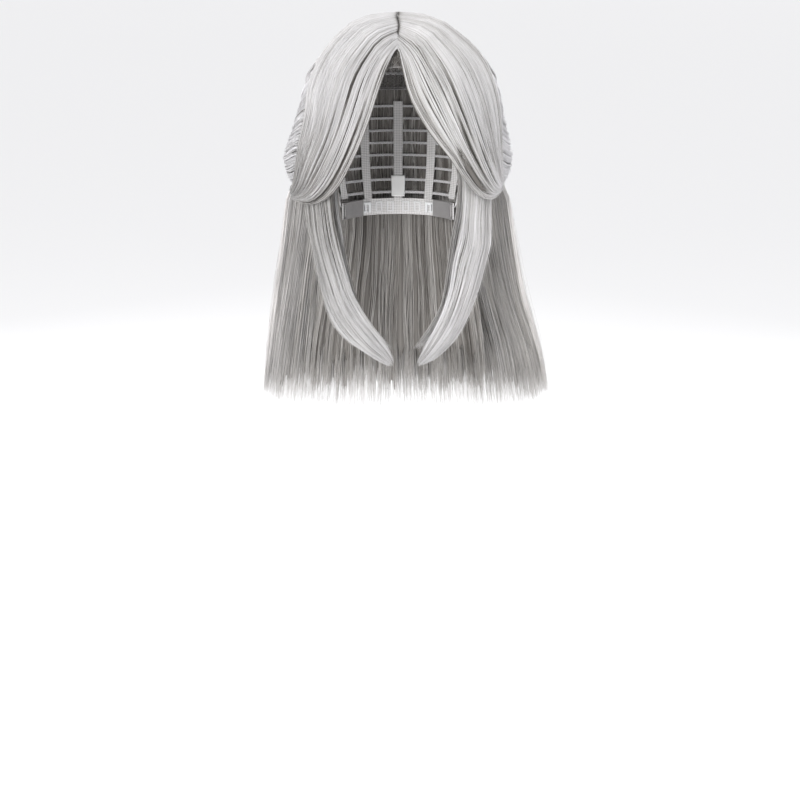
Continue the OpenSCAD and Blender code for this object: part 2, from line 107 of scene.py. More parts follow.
def hair_material(name, stops, rough=0.42, spec=0.5, streak=0.25):
    """Fibre: a tone of its own for each strand from the rnd attribute, which also carries the painted shade of gaps,
    roots and deep strands, and slow changes of tone along it.
    """
    m, nt, p = new_mat(name)
    a = nt.nodes.new("ShaderNodeAttribute")
    a.attribute_name = "rnd"
    r = ramp(nt, stops)
    nt.links.new(a.outputs["Fac"], r.inputs["Fac"])
    tc = nt.nodes.new("ShaderNodeTexCoord")
    mp = nt.nodes.new("ShaderNodeMapping")
    mp.inputs["Scale"].default_value = (1.0, 1.0, 0.35)
    nz = nt.nodes.new("ShaderNodeTexNoise")
    nz.inputs["Scale"].default_value = 26
    nz.inputs["Detail"].default_value = 3
    nt.links.new(tc.outputs["Object"], mp.inputs["Vector"])
    nt.links.new(mp.outputs["Vector"], nz.inputs["Vector"])
    mr = nt.nodes.new("ShaderNodeMapRange")
    mr.inputs["From Min"].default_value = 0.3
    mr.inputs["From Max"].default_value = 0.7
    mr.inputs["To Min"].default_value = 1 - streak
    mr.inputs["To Max"].default_value = 1.0
    nt.links.new(nz.outputs["Fac"], mr.inputs["Value"])
    mx = nt.nodes.new("ShaderNodeMix")
    mx.data_type = "RGBA"
    mx.blend_type = "MULTIPLY"
    mx.inputs["Factor"].default_value = 1
    nt.links.new(r.outputs["Color"], mx.inputs[6])
    nt.links.new(mr.outputs["Result"], mx.inputs[7])
    nt.links.new(mx.outputs[2], p.inputs["Base Color"])
    p.inputs["Roughness"].default_value = rough
    p.inputs["Specular IOR Level"].default_value = spec
    return m


def cloth_material(name, dark, light, scale, rough=0.85, bump=0.25, sheen=0.15, vector="Object", kind="weave"):
    """Woven or knitted cloth: two crossing sets of ribs in colour and bump."""
    m, nt, p = new_mat(name)
    tc = nt.nodes.new("ShaderNodeTexCoord")
    w1 = nt.nodes.new("ShaderNodeTexWave")
    w1.bands_direction = "Z"
    w2 = nt.nodes.new("ShaderNodeTexWave")
    w2.bands_direction = "X" if kind == "weave" else "Y"
    for w in (w1, w2):
        w.inputs["Scale"].default_value = scale
        w.inputs["Distortion"].default_value = 0.6
        w.inputs["Detail"].default_value = 1
        nt.links.new(tc.outputs[vector], w.inputs["Vector"])
    mul = nt.nodes.new("ShaderNodeMath")
    mul.operation = "MULTIPLY_ADD"
    mul.inputs[1].default_value = 0.5
    nt.links.new(w1.outputs["Fac"], mul.inputs[0])
    half = nt.nodes.new("ShaderNodeMath")
    half.operation = "MULTIPLY"
    half.inputs[1].default_value = 0.5
    nt.links.new(w2.outputs["Fac"], half.inputs[0])
    nt.links.new(half.outputs[0], mul.inputs[2])
    nz = nt.nodes.new("ShaderNodeTexNoise")
    nz.inputs["Scale"].default_value = 90
    nt.links.new(tc.outputs["Object"], nz.inputs["Vector"])
    ad = nt.nodes.new("ShaderNodeMath")
    ad.operation = "MULTIPLY_ADD"
    ad.inputs[1].default_value = 0.25
    nt.links.new(nz.outputs["Fac"], ad.inputs[0])
    nt.links.new(mul.outputs[0], ad.inputs[2])
    r = ramp(nt, [(0.15, dark), (0.85, light)])
    nt.links.new(ad.outputs[0], r.inputs["Fac"])
    nt.links.new(r.outputs["Color"], p.inputs["Base Color"])
    b = nt.nodes.new("ShaderNodeBump")
    b.inputs["Strength"].default_value = bump
    b.inputs["Distance"].default_value = 0.0004
    nt.links.new(mul.outputs[0], b.inputs["Height"])
    nt.links.new(b.outputs["Normal"], p.inputs["Normal"])
    p.inputs["Roughness"].default_value = rough
    p.inputs["Sheen Weight"].default_value = sheen
    return m


def plastic_material(name, c0, c1, rough=0.35):
    m, nt, p = new_mat(name)
    tc = nt.nodes.new("ShaderNodeTexCoord")
    nz = nt.nodes.new("ShaderNodeTexNoise")
    nz.inputs["Scale"].default_value = 220
    nz.inputs["Detail"].default_value = 4
    nt.links.new(tc.outputs["Object"], nz.inputs["Vector"])
    r = ramp(nt, [(0.3, c0), (0.7, c1)])
    nt.links.new(nz.outputs["Fac"], r.inputs["Fac"])
    nt.links.new(r.outputs["Color"], p.inputs["Base Color"])
    mr = nt.nodes.new("ShaderNodeMapRange")
    mr.inputs["To Min"].default_value = rough - 0.08
    mr.inputs["To Max"].default_value = rough + 0.12
    nt.links.new(nz.outputs["Fac"], mr.inputs["Value"])
    nt.links.new(mr.outputs["Result"], p.inputs["Roughness"])
    p.inputs["Subsurface Weight"].default_value = 0.0
    return m


# SILVER is the hair's silver; its warmer dark stops are the colour of the painted shade on darkened strands.
SILVER = [(0.0, (0.085, 0.078, 0.07)), (0.12, (0.24, 0.225, 0.21)), (0.3, (0.46, 0.447, 0.435)), (0.6, (0.66, 0.65, 0.652)), (1.0, (0.83, 0.822, 0.838))]
# SILVER_WARM_SHADE: the silver tinted warm for the back hair, a painted warm shade tint.
SILVER_WARM_SHADE = [(p_, (c_[0], c_[1] * 0.985, c_[2] * 0.955)) for p_, c_ in SILVER]
# SHADE: a darker, warmer copy of the silver, painted shade for hair lying under or behind other layers.
SHADE = [(0.0, (0.09, 0.08, 0.07)), (0.3, (0.33, 0.31, 0.29)), (0.7, (0.53, 0.51, 0.49)), (1.0, (0.68, 0.66, 0.64))]
M_HAIR = hair_material("hair_silver", SILVER, rough=0.45, spec=0.4)
M_SHADE = hair_material("hair_shade", SHADE, rough=0.5, spec=0.35)
M_BACK_WARM_SHADE = hair_material("hair_silver_back_warm_shade", SILVER_WARM_SHADE, rough=0.45, spec=0.4)
# hair_base and hair_base_pale: dark sheets under the strands, painted shade that shows through the gaps between
# strands.
M_BASE = hair_material("hair_base", [(0.0, (0.10, 0.092, 0.084)), (1.0, (0.25, 0.235, 0.22))], rough=0.6, spec=0.2)
M_BASE_PALE = hair_material("hair_base_pale", [(0.0, (0.22, 0.205, 0.19)), (1.0, (0.42, 0.40, 0.385))], rough=0.6, spec=0.2)
M_LACE = cloth_material("lace_thread", (0.13, 0.125, 0.125), (0.30, 0.29, 0.29), 900, kind="knit")
M_ELASTIC = cloth_material("woven_elastic", (0.40, 0.39, 0.385), (0.76, 0.75, 0.745), 190, bump=0.6)
M_WEFT = cloth_material("weft_stitching", (0.40, 0.39, 0.40), (0.72, 0.71, 0.72), 700, bump=0.6)
M_THREAD = cloth_material("covered_thread", (0.58, 0.58, 0.59), (0.84, 0.84, 0.85), 800, bump=0.4)
# parting_cloth: the cloth's grey-brown, made darker as painted shade so the parting reads as a dark line.
M_SKIN = cloth_material("parting_cloth", (0.32, 0.30, 0.285), (0.50, 0.47, 0.445), 500, bump=0.15, kind="knit")
M_LABEL = cloth_material("satin_label", (0.84, 0.84, 0.83), (0.93, 0.93, 0.92), 1500, rough=0.45, bump=0.12)
M_TIE = cloth_material("covered_elastic", (0.36, 0.36, 0.38), (0.66, 0.66, 0.69), 900, bump=0.7)
M_PLASTIC = plastic_material("moulded_plastic", (0.72, 0.73, 0.74), (0.86, 0.87, 0.88))


# ------------------------------------------------------------------ curves and surfaces (millimetres)
def cr(P, x):
    """Point at x, 0 to 1, on the smooth curve through the control points along P's first axis."""
    K = P.shape[0] - 1
    t = np.clip(x, 0, 1) * K
    i = np.minimum(t.astype(int), K - 1)
    f = (t - i)[..., None]
    Q = np.concatenate([2 * P[:1] - P[1:2], P, 2 * P[-1:] - P[-2:-1]], 0)
    if P.ndim == 2:
        a, b, c, d = Q[i], Q[i + 1], Q[i + 2], Q[i + 3]
    else:
        idx = tuple(np.indices(i.shape))
        a, b, c, d = (Q[(i + k,) + idx] for k in range(4))
    return 0.5 * (2 * b + (c - a) * f + (2 * a - 5 * b + 4 * c - d) * f * f + (3 * b - a - 3 * c + d) * f ** 3)


def unit(v):
    return v / np.maximum(np.linalg.norm(v, axis=-1, keepdims=True), 1e-9)


class Net:
    """Surface through guide strands: u across them, evenly spaced, v along them."""

    def __init__(self, rows):
        self.N = np.array(rows, float)
        v = np.linspace(0.1, 0.8, 8)
        R = np.stack([cr(r, v) for r in self.N])
        gap = np.linalg.norm(np.diff(R, axis=0), axis=-1).mean(1)
        self.k = np.concatenate([[0], np.cumsum(gap)]) / gap.sum()
        self.x = np.linspace(0, 1, len(self.N))
        self.sign = 1.0
        h = np.array([0.5])
        n, p = self.n(h, h)[0], self.p(h, h)[0]
        if n @ (p - np.array([0, 15, p[2] * 0.6])) < 0:
            self.sign = -1.0

    def p(self, u, v):
        return cr(np.stack([cr(r, v) for r in self.N]), np.interp(u, self.k, self.x))

    def n(self, u, v):
        e = 0.02
        du = self.p(np.minimum(u + e, 1), v) - self.p(np.maximum(u - e, 0), v)
        dv = self.p(u, np.minimum(v + e, 1)) - self.p(u, np.maximum(v - e, 0))
        return unit(np.cross(du, dv)) * self.sign


class Formula:
    """Surface given by a function of u and v."""

    def __init__(self, f, sign_at=(0.5, 0.5), centre=(0, 15, -80)):
        self.f = f
        self.sign = 1.0
        u, v = np.array([sign_at[0]]), np.array([sign_at[1]])
        if self.n(u, v)[0] @ (self.p(u, v)[0] - np.array(centre)) < 0:
            self.sign = -1.0

    def p(self, u, v):
        return self.f(u, v)

    def n(self, u, v):
        e = 0.01
        du = self.f(u + e, v) - self.f(u - e, v)
        dv = self.f(u, v + e) - self.f(u, v - e)
        return unit(np.cross(du, dv)) * self.sign


def smooth(x):
    x = np.clip(x, 0, 1)
    return x * x * (3 - 2 * x)


# ------------------------------------------------------------------ meshes
def tubes(P, N, W, sides=3, flat=0.65, mat=0, rnd=None, uvbox=(0, 0, 1, 1), turn=None, rng=None):
    """Closed tapered tubes along many paths. P, N: (n, m, 3) mm; W: (n, m) full width, mm."""
    n, m, _ = P.shape
    T = unit(np.gradient(P, axis=1))
    B = unit(np.cross(T, N))
    N2 = np.cross(B, T)
    a0 = np.zeros(n) if turn is None else turn
    ang = a0[:, None] + np.arange(sides)[None] * 2 * math.pi / sides
    ca, sa = np.cos(ang), np.sin(ang) * flat
    V = (P[:, :, None, :] + 0.5 * W[:, :, None, None] * (ca[:, None, :, None] * B[:, :, None, :] + sa[:, None, :, None] * N2[:, :, None, :]))
    base = (np.arange(n) * m * sides)[:, None, None]
    i = np.arange(m - 1)[None, :, None]
    j = np.arange(sides)[None, None, :]
    j2 = (j + 1) % sides
    q = np.stack([base + i * sides + j, base + i * sides + j2, base + (i + 1) * sides + j2, base + (i + 1) * sides + j], -1).reshape(-1, 4)
    cols = max(1, int(math.sqrt(n)))
    rows = -(-n // cols)
    x0, y0, x1, y1 = uvbox
    sx, sy = (x1 - x0) / cols, (y1 - y0) / rows
    k = np.arange(n)
    ox = (x0 + (k % cols) * sx)[:, None, None]
    oy = (y0 + (k // cols) * sy)[:, None, None]
    ua = np.broadcast_to(ox + sx * (0.06 + 0.88 * j / sides), (n, m - 1, sides))
    ub = np.broadcast_to(ox + sx * (0.06 + 0.88 * (j + 1) / sides), (n, m - 1, sides))
    va = np.broadcast_to(oy + sy * (0.06 + 0.88 * i / (m - 1)), (n, m - 1, sides))
    vb = np.broadcast_to(oy + sy * (0.06 + 0.88 * (i + 1) / (m - 1)), (n, m - 1, sides))
    uvq = np.stack([np.stack([ua, va], -1), np.stack([ub, va], -1), np.stack([ub, vb], -1), np.stack([ua, vb], -1)], -2).reshape(-1, 4, 2)
    caps, uvc = [], []
    for at, order in ((0, -1), (m - 1, 1)):
        ids = (np.arange(n) * m * sides + at * sides)[:, None] + np.arange(sides)[None, ::order]
        caps.append(ids)
        uvc.append(np.broadcast_to(np.stack([ox[:, 0, 0] + sx * 0.5, oy[:, 0, 0] + sy * (0.06 if at == 0 else 0.94)], -1)[:, None, :], (n, sides, 2)))
    r = np.zeros(n) if rnd is None else rnd
    r = np.repeat(r.ravel(), sides) if r.ndim == 2 else np.repeat(r, m * sides)
    return dict(v=V.reshape(-1, 3), polys=[(q, uvq)] + list(zip(caps, uvc)), rnd=r, mat=mat, smooth=True)


def slab(A, B, mat=0, rnd=None, uvbox=(0, 0, 1, 1), close_u=False):
    """Closed solid between two grids of points (rows, columns, 3). close_u joins the last column to the first."""
    n, m, _ = A.shape
    o = n * m
    id_ = lambda i, j: i * m + (j % m)
    mm = m if close_u else m - 1
    I, J = np.meshgrid(np.arange(n - 1), np.arange(mm), indexing="ij")
    I, J = I.ravel(), J.ravel()
    J2 = (J + 1) % m
    top = np.stack([I * m + J, I * m + J2, (I + 1) * m + J2, (I + 1) * m + J], -1)
    bot = np.stack([o + I * m + J, o + (I + 1) * m + J, o + (I + 1) * m + J2, o + I * m + J2], -1)
    x0, y0, x1, y1 = uvbox
    xm = (x0 + x1) / 2

    def uv(i, j, side):
        a, b = (x0, xm) if side == 0 else (xm, x1)
        return np.stack([a + (b - a) * (0.02 + 0.96 * j / max(1, mm)), y0 + (y1 - y0) * (0.02 + 0.96 * i / (n - 1))], -1)
    uvt = np.stack([uv(I, J, 0), uv(I, J + 1, 0), uv(I + 1, J + 1, 0), uv(I + 1, J, 0)], 1)
    uvb = np.stack([uv(I, J, 1), uv(I + 1, J, 1), uv(I + 1, J + 1, 1), uv(I, J + 1, 1)], 1)
    polys = [(top, uvt), (bot, uvb)]
    k = np.arange(mm)
    k2 = (k + 1) % m
    e1 = np.stack([k2, k, o + k, o + k2], -1)
    e2 = np.stack([(n - 1) * m + k, (n - 1) * m + k2, o + (n - 1) * m + k2, o + (n - 1) * m + k], -1)
    ends = [e1, e2]
    if not close_u:
        i = np.arange(n - 1)
        ends.append(np.stack([i * m, (i + 1) * m, o + (i + 1) * m, o + i * m], -1))
        ends.append(np.stack([(i + 1) * m + m - 1, i * m + m - 1, o + i * m + m - 1, o + (i + 1) * m + m - 1], -1))
    for e in ends:
        c = np.full((len(e), 4, 2), 0.0)
        c[..., 0], c[..., 1] = (x0 + xm) / 2, (y0 + y1) / 2
        polys.append((e, c))
    V = np.concatenate([A.reshape(-1, 3), B.reshape(-1, 3)])
    r = np.full(len(V), 0.5) if rnd is None else rnd
    return dict(v=V, polys=polys, rnd=r, mat=mat, smooth=True)


def make(name, parts, mats, body=None, replaces=(), fix_normals=False):
    vs, starts, loops, uvs, mids, rnds, total, off, pol = [], [], [], [], [], [], 0, 0, 0
    for part in parts:
        vs.append(part["v"])
        rnds.append(part["rnd"])
        for q, uv in part["polys"]:
            q = np.asarray(q)
            loops.append((q + off).reshape(-1))
            uvs.append(np.asarray(uv).reshape(-1, 2))
            starts.append(total + np.arange(len(q)) * q.shape[1])
            total += q.size
            mids.append(np.full(len(q), part["mat"]))
        off += len(part["v"])
    V = np.concatenate(vs) * MM
    L = np.concatenate(loops).astype(np.int32)
    S = np.concatenate(starts).astype(np.int32)
    me = bpy.data.meshes.new(name)
    me.vertices.add(len(V))
    me.vertices.foreach_set("co", V.astype(np.float32).ravel())
    me.loops.add(len(L))
    me.loops.foreach_set("vertex_index", L)
    me.polygons.add(len(S))
    me.polygons.foreach_set("loop_start", S)
    me.update(calc_edges=True)
    me.validate()
    me.polygons.foreach_set("material_index", np.concatenate(mids).astype(np.int32))
    me.polygons.foreach_set("use_smooth", np.ones(len(S), bool))
    uvl = me.uv_layers.new(name=UVMAP)
    uvl.data.foreach_set("uv", np.concatenate(uvs).astype(np.float32).ravel())
    at = me.attributes.new("rnd", "FLOAT", "POINT")
    at.data.foreach_set("value", np.concatenate(rnds).astype(np.float32))
    for m in mats:
        me.materials.append(m)
    if fix_normals:
        import bmesh
        bm = bmesh.new()
        bm.from_mesh(me)
        bmesh.ops.recalc_face_normals(bm, faces=bm.faces)
        bm.to_mesh(me)
        bm.free()
    ob = bpy.data.objects.new(name, me)
    scene.collection.objects.link(ob)
    if body:
        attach(ob, body)
    if replaces:
        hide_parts(*replaces)
    return ob


# ------------------------------------------------------------------ hair sections
def profile(vs, ts, edge):
    """Thickness along a section, thinner at its two long edges."""
    def f(u, v):
        return np.interp(v, vs, ts) * (edge + (1 - edge) * np.sqrt(np.maximum(0, 1 - (2 * u - 1) ** 2)))
    return f


def along_v(v, knots):
    a = np.array(knots, float)
    return np.interp(v, a[:, 0], a[:, 1])


def keep_off(P, d):
    """Points nearer the head than d are moved out to d."""
    hy = np.where(P[..., 1] < 0, 94.0, 98.0)
    z = P[..., 2]
    s = np.clip(-z / 90, 0, 1.2)
    rx, ry = 76 * (1 - 0.16 * s * s), hy * (1 - 0.2 * s * s)
    zz = np.maximum(z, 0) / 100
    qx, qy = P[..., 0] / rx, P[..., 1] / ry
    f = np.sqrt(qx ** 2 + qy ** 2 + zz ** 2)
    g = np.stack([qx / rx, qy / ry, zz / 100], -1)
    gl = np.linalg.norm(g, axis=-1)
    dist = (f - 1) * f / np.maximum(gl, 1e-6)
    push = np.where((z > -88) & (dist < d), np.minimum(d - dist, 8.0), 0)
    return P + g / np.maximum(gl, 1e-6)[..., None] * push[..., None]


def fine_lines(seed, k, h, depth, dark, span=(0.05, 0.95), length=(0.2, 0.5)):
    """Many fine partings, each with a place, half width, depth, start, end and amount of painted shade of its own."""
    rng = np.random.default_rng(seed + 7000)
    uc = (np.arange(k) + rng.random(k)) / k
    mid, ln = rng.uniform(*span, k), rng.uniform(*length, k)
    a, b, c = rng.uniform(0.5, 1.5, k), rng.uniform(0.5, 1.2, k), rng.uniform(0.35, 1.0, k)
    return [(uc[i], h * a[i], depth * b[i], mid[i] - ln[i] / 2, mid[i] + ln[i] / 2, dark * c[i]) for i in range(k)]


def strand_set(surf, T, n, m, seed, width=0.5, locks=12, wisps=70, pull1=((0, 0.05), (1, 0.35)), pull2=((0, 0.2), (1, 0.55)), outer=0.6, skin=0.3,
               lift=0.6, lift2=0.25, groove=((0, 0.3), (1, 1.0)), groove2=((0, 0.3), (1, 0.8)), tip=0.05, tip_pow=2.0, tip_wisp=0.0, start=0.0, root_spread=0.012,
               fly=0.012, fly_h=4.0, fly_u=0.02, meander=0.005, sink=0.0, step=None, ripple=0.0, ulim=(0.0, 1.0), taper=0.35, off=None, tone=0.0, relax=0.0, cuts=(), tone_var=1.0, shade=None, roots=0.0, cross=None, draw=0.0, puff=None, rim=None, calm=None):
    """Strands through the thickness of a section. They lie in narrow wisps, and the wisps lie in broad locks with grooves between them."""
    rng = np.random.default_rng(seed)
    u0 = (np.arange(n) + rng.random(n)) / n
    b1 = np.concatenate([[0], np.sort((np.arange(1, locks) + rng.uniform(-0.42, 0.42, locks - 1)) / locks), [1]])
    b2 = np.sort((np.arange(1, wisps) + rng.uniform(-0.4, 0.4, wisps - 1)) / wisps)
    b2 = b2[np.min(np.abs(b2[:, None] - b1[None]), 1) > 0.3 / wisps]
    b2 = np.sort(np.concatenate([b1, b2]))
    k2 = len(b2) - 1

    def group(b):
        i = np.clip(np.searchsorted(b, u0, side="right") - 1, 0, len(b) - 2)
        c, h = 0.5 * (b[i] + b[i + 1]), 0.5 * (b[i + 1] - b[i])
        return i, c, np.clip((u0 - c) / h, -1, 1)
    i1, c1, _ = group(b1)
    i2, c2, q2 = group(b2)
    h1 = 0.5 * (b1[i1 + 1] - b1[i1])
    q1 = np.clip((c2 - c1) / h1, -1, 1)
    deep = rng.random(n) > outer
    d0 = np.where(deep, skin + (1 - skin) * rng.random(n) ** 0.9, skin * rng.random(n))
    r1, r2 = rng.random((locks, 4)), rng.random((k2, 6))
    s_ph = rng.random((n, 3))
    v = (np.concatenate([[0, 0.005, 0.012], np.linspace(0.03, 1, m - 3)]) if roots else np.linspace(0, 1, m))[None]
    v_end = 1 - tip * rng.random(n) ** tip_pow - tip_wisp * r2[i2, 0]
    v_beg = start + root_spread * rng.random(n)
    V = v_beg[:, None] + (v_end - v_beg)[:, None] * v
    p1 = np.clip(along_v(V, pull1) * (0.6 + 0.8 * r1[i1, 0])[:, None], 0, 0.9)
    p2 = np.clip(along_v(V, pull2) * (0.55 + 0.9 * r2[i2, 1])[:, None], 0, 0.93)
    U = c1[:, None] + ((c2 - c1)[:, None] + (u0 - c2)[:, None] * (1 - p2)) * (1 - p1)
    grow = smooth(V * 2.2)
    U = U + meander * grow * ((0.5 + r1[i1, 1])[:, None] * np.sin(2 * math.pi * (1.05 * V + r1[i1, 2][:, None])) + 0.45 * np.sin(2 * math.pi * ((1.4 + r2[i2, 2])[:, None] * V + r2[i2, 3][:, None])))
    U = U + 0.22 / wisps * grow * np.sin(2 * math.pi * ((1.2 + 1.5 * s_ph[:, :1]) * V + s_ph[:, 1:2]))
    isfly = rng.random(n) < fly
    U = U + np.where(isfly, rng.normal(0, fly_u, n), 0)[:, None] * smooth(V)
    dip, gap_shade = np.zeros_like(U), np.zeros_like(U)
    # Each cut parts the strands; its last value darkens the strands beside it, painted shade in the gap.
    for uc, h, depth, v0, v1, dk in cuts:
        lens_ = np.sin(math.pi * np.clip((V - v0) / (v1 - v0), 0, 1)) ** 1.1
        du = U - uc
        U = U + np.where(du >= 0, 1, -1) * h * lens_ * np.exp(-np.abs(du) / (0.012 + 2 * h))
        near = np.exp(-(du / (1.2 * h)) ** 2)
        dip = dip + depth * lens_ * near
        gap_shade = gap_shade + dk * lens_ * near
    U = ulim[0] + (ulim[1] - ulim[0]) * np.clip(U, -0.004, 1.004)
    if draw:
        U = U + draw * (1 - U) ** 2 * smooth((V - 0.16) / 0.2)
    Uc = np.clip(U, 0, 1)
    Tm = T(Uc, V)
    D = d0[:, None] * Tm + dip
    up = (1 - d0)[:, None]
    D = D + (lift * (r1[i1, 3] * 2 - 1))[:, None] * smooth(V * 3) + (lift2 * (r2[i2, 4] * 2 - 1))[:, None] * smooth(V * 5)
    D = D + up * (along_v(V, groove) * (q1 ** 4)[:, None] + along_v(V, groove2) * (np.abs(q2) ** 2.5)[:, None])
    if relax:
        D = D + relax * (s_ph[:, 2:3] - 0.5) * smooth(V)
    if step is not None:
        su, sh, sv0, sv1 = step
        D = D - sh * smooth((U - su) / 0.02) * (1 - smooth((V - sv0) / max(1e-6, sv1 - sv0)))
    if sink:
        D = D + sink * (1 - smooth(V / 0.045))
    if ripple:
        D = D + ripple * np.sin(2 * math.pi * (14 * V + 0.3 * np.sin(6 * U) + 0.08 * s_ph[:, 2:3]))
    fh = np.where(isfly, rng.uniform(0.25, 1.0, n) * fly_h, 0)
    D = D - (fh[:, None] * np.sin(math.pi * np.clip(V / 0.98, 0, 1)) ** 1.5 + (0.3 * fh)[:, None] * smooth(V))
    if puff:
        D = D - puff[0] * np.sin(math.pi * np.clip(V / puff[1], 0, 1)) * smooth((U - puff[2]) / 0.12) * (1 - smooth((U - puff[3]) / 0.3))
    N = surf.n(Uc, V)
    P = surf.p(Uc, V) - N * D[..., None]
    over = np.zeros_like(U)
    if cross:
        over = smooth((cross[0] - U) / 0.06) * (1 - smooth(V / 0.035))
        P[..., 0] += cross[1] * over * (0.3 + s_ph[:, 2:3])
        P[..., 0] += cross[2] * smooth((0.2 - U) / 0.2) * np.sin(math.pi * np.clip(V / 0.42, 0, 1)) ** 1.3
    if roots:
        P[..., 0] += 0.75 * np.sin(P[..., 1] / 7.0 + 0.6) * (1 - smooth(V / 0.06))
    if off:
        P = keep_off(P, off)
    w = width * rng.uniform(0.7, 1.3, n)
    w = np.where(isfly, w * 0.6, w)
    prof = np.minimum(1, 0.45 + 8 * v) * (1 - (1 - taper) * smooth((v - 0.72) / 0.28))
    W = w[:, None] * prof
    rnd = 0.5 + tone_var * (0.55 * (rng.random(n) - 0.5) + 0.42 * (r2[i2, 5] - 0.5) + 0.10 * (r1[i1, 3] - 0.5)) + rng.normal(0, 0.06, n)
    # Painted shade: strands at the edges of wisps and locks, and strands deeper in a section, are darker.
    rnd = rnd - 0.16 * np.abs(q2) ** 3 - 0.06 * q1 ** 4 - 0.25 * np.maximum(0, d0 - skin) + 0.12 + tone
    rnd = rnd[:, None] + 0 * V
    if calm:
        k = calm[2] + (1 - calm[2]) * smooth((V - calm[0]) / (calm[1] - calm[0]))
        rnd = 0.58 + tone + (rnd - 0.58 - tone) * k
        gap_shade = gap_shade * (0.7 + 0.3 * k)
    # painted shade in the gaps of the cuts
    rnd = rnd - gap_shade
    # Painted shade at the parting: the first millimetres of each strand are darkened.
    if roots:
        rnd = rnd - roots * (1 - smooth(V / 0.010)) * (1 - 0.8 * over)
    # Painted shade along the free edge at u = 0, against the light that edge catches.
    if rim:
        rnd = rnd - rim[1] * (1 - smooth(Uc / rim[0])) * (0.5 + s_ph[:, 2:3]) * smooth((V - 0.05) / 0.08)
    if shade is not None:
        k = along_v(V, shade)
        rnd = rnd - k * (0.5 + 0.9 * r2[i2, 3][:, None] * (0.4 + np.abs(q2)[:, None]))
    return P, N, W, np.clip(rnd, 0.0, 1), rng.random(n) * 2 * math.pi


# base_sheet: a dark sheet under a section's strands, painted shade for the gaps.
def base_sheet(surf, T, seed, nu=150, nv=34, at=(0.45, 0.66), ridge=0.4, ulim=(0.03, 0.97), vlim=(0.015, 0.93), sink=0.0, step=None, mat=1, uvbox=(0, 0, 1, 0.12), off=None, rag=0.0, draw=0.0):
    rng = np.random.default_rng(seed + 999)
    U0, V = np.meshgrid(ulim[0] + (ulim[1] - ulim[0]) * np.linspace(0, 1, nu), vlim[0] + (vlim[1] - vlim[0]) * np.linspace(0, 1, nv), indexing="xy")
    if rag:
        k = rag * (0.35 * np.sin(17 * U0 + seed) + 0.2 * np.sin(53 * U0 + 2 * seed) + 0.9 * (rng.random(nu)[None] - 0.5))
        V = V * (1 + np.where(V > 0, k, 0))
    if draw:
        U0 = U0 + (draw + 0.02) * (1 - U0) ** 2 * smooth((V - 0.16) / 0.2)
    g = np.zeros_like(U0)
    for f, a in ((19, 0.5), (31, 0.35), (43, 0.25)):
        ph = rng.random() * 6.28
        g += a * np.sin(f * 6.28 * U0 * 0.5 + ph + 0.8 * np.sin(3 * V + ph))
    Tm = T(U0, V)
    N = surf.n(U0, V)
    P = surf.p(U0, V)
    W0 = vlim[0] + (vlim[1] - vlim[0]) * np.linspace(0, 1, nv)[:, None] * np.ones_like(U0)
    ends = np.minimum(1, np.minimum((W0 - vlim[0]), (vlim[1] - W0)) / 0.04 + 0.1)
    sides = np.minimum(1, np.minimum(U0 - ulim[0], ulim[1] - U0) / 0.05 + 0.1)
    k = np.sqrt(np.clip(ends * sides, 0.02, 1))
    mid = 0.5 * (at[0] + at[1])
    do = Tm * (mid + (at[0] - mid) * k) + ridge * g * k
    di = Tm * (mid + (at[1] - mid) * k) + ridge * g * k + 0.08
    extra = np.zeros_like(U0)
    if sink:
        extra += sink * (1 - smooth(V / 0.045))
    if step is not None:
        su, sh, sv0, sv1 = step
        extra -= sh * smooth((U0 - su) / 0.02) * (1 - smooth((V - sv0) / max(1e-6, sv1 - sv0)))
    A = P - N * (do + extra)[..., None]
    B = P - N * (di + extra)[..., None]
    if off:
        A, B = keep_off(A, off + 0.5), keep_off(B, off)
    col = rng.random(nu)[None]
    r = np.clip(0.1 + 0.8 * (0.7 * col + 0.3 * np.roll(col, 1)) + 0.12 * g, 0, 1).ravel()
    return slab(A, B, mat=mat, uvbox=uvbox, rnd=np.concatenate([r, r]))


def hair_piece(name, surf, T, n, m, seed, body, slot, replaces=(), base=True, mats=None, base_kw=None, **kw):
    P, N, W, rnd, turn = strand_set(surf, T, n, m, seed, **kw)
    parts = [tubes(P, N, W, sides=3, rnd=rnd, turn=turn, uvbox=(0, 0.13, 1, 1))]
    if base:
        bk = dict(sink=kw.get("sink", 0), step=kw.get("step"), off=kw.get("off"))
        bk.update(base_kw or {})
        parts.append(base_sheet(surf, T, seed, **bk))
    return make(name, parts, mats or [M_HAIR, M_BASE], body=body, replaces=replaces)


def slim(rows):
    """The photographed wig is a little narrower on its right side, above the ear."""
    def dx(p):
        return 5.5 * float(smooth((abs(p[0]) - 40) / 35) * smooth((p[2] + 25) / 45))
    return [[[p[0] + dx(p), p[1], p[2]] if p[0] < 0 else p for p in r] for r in rows]


def mirror(rows):
    return [[[-p[0], p[1], p[2]] for p in r] for r in rows]


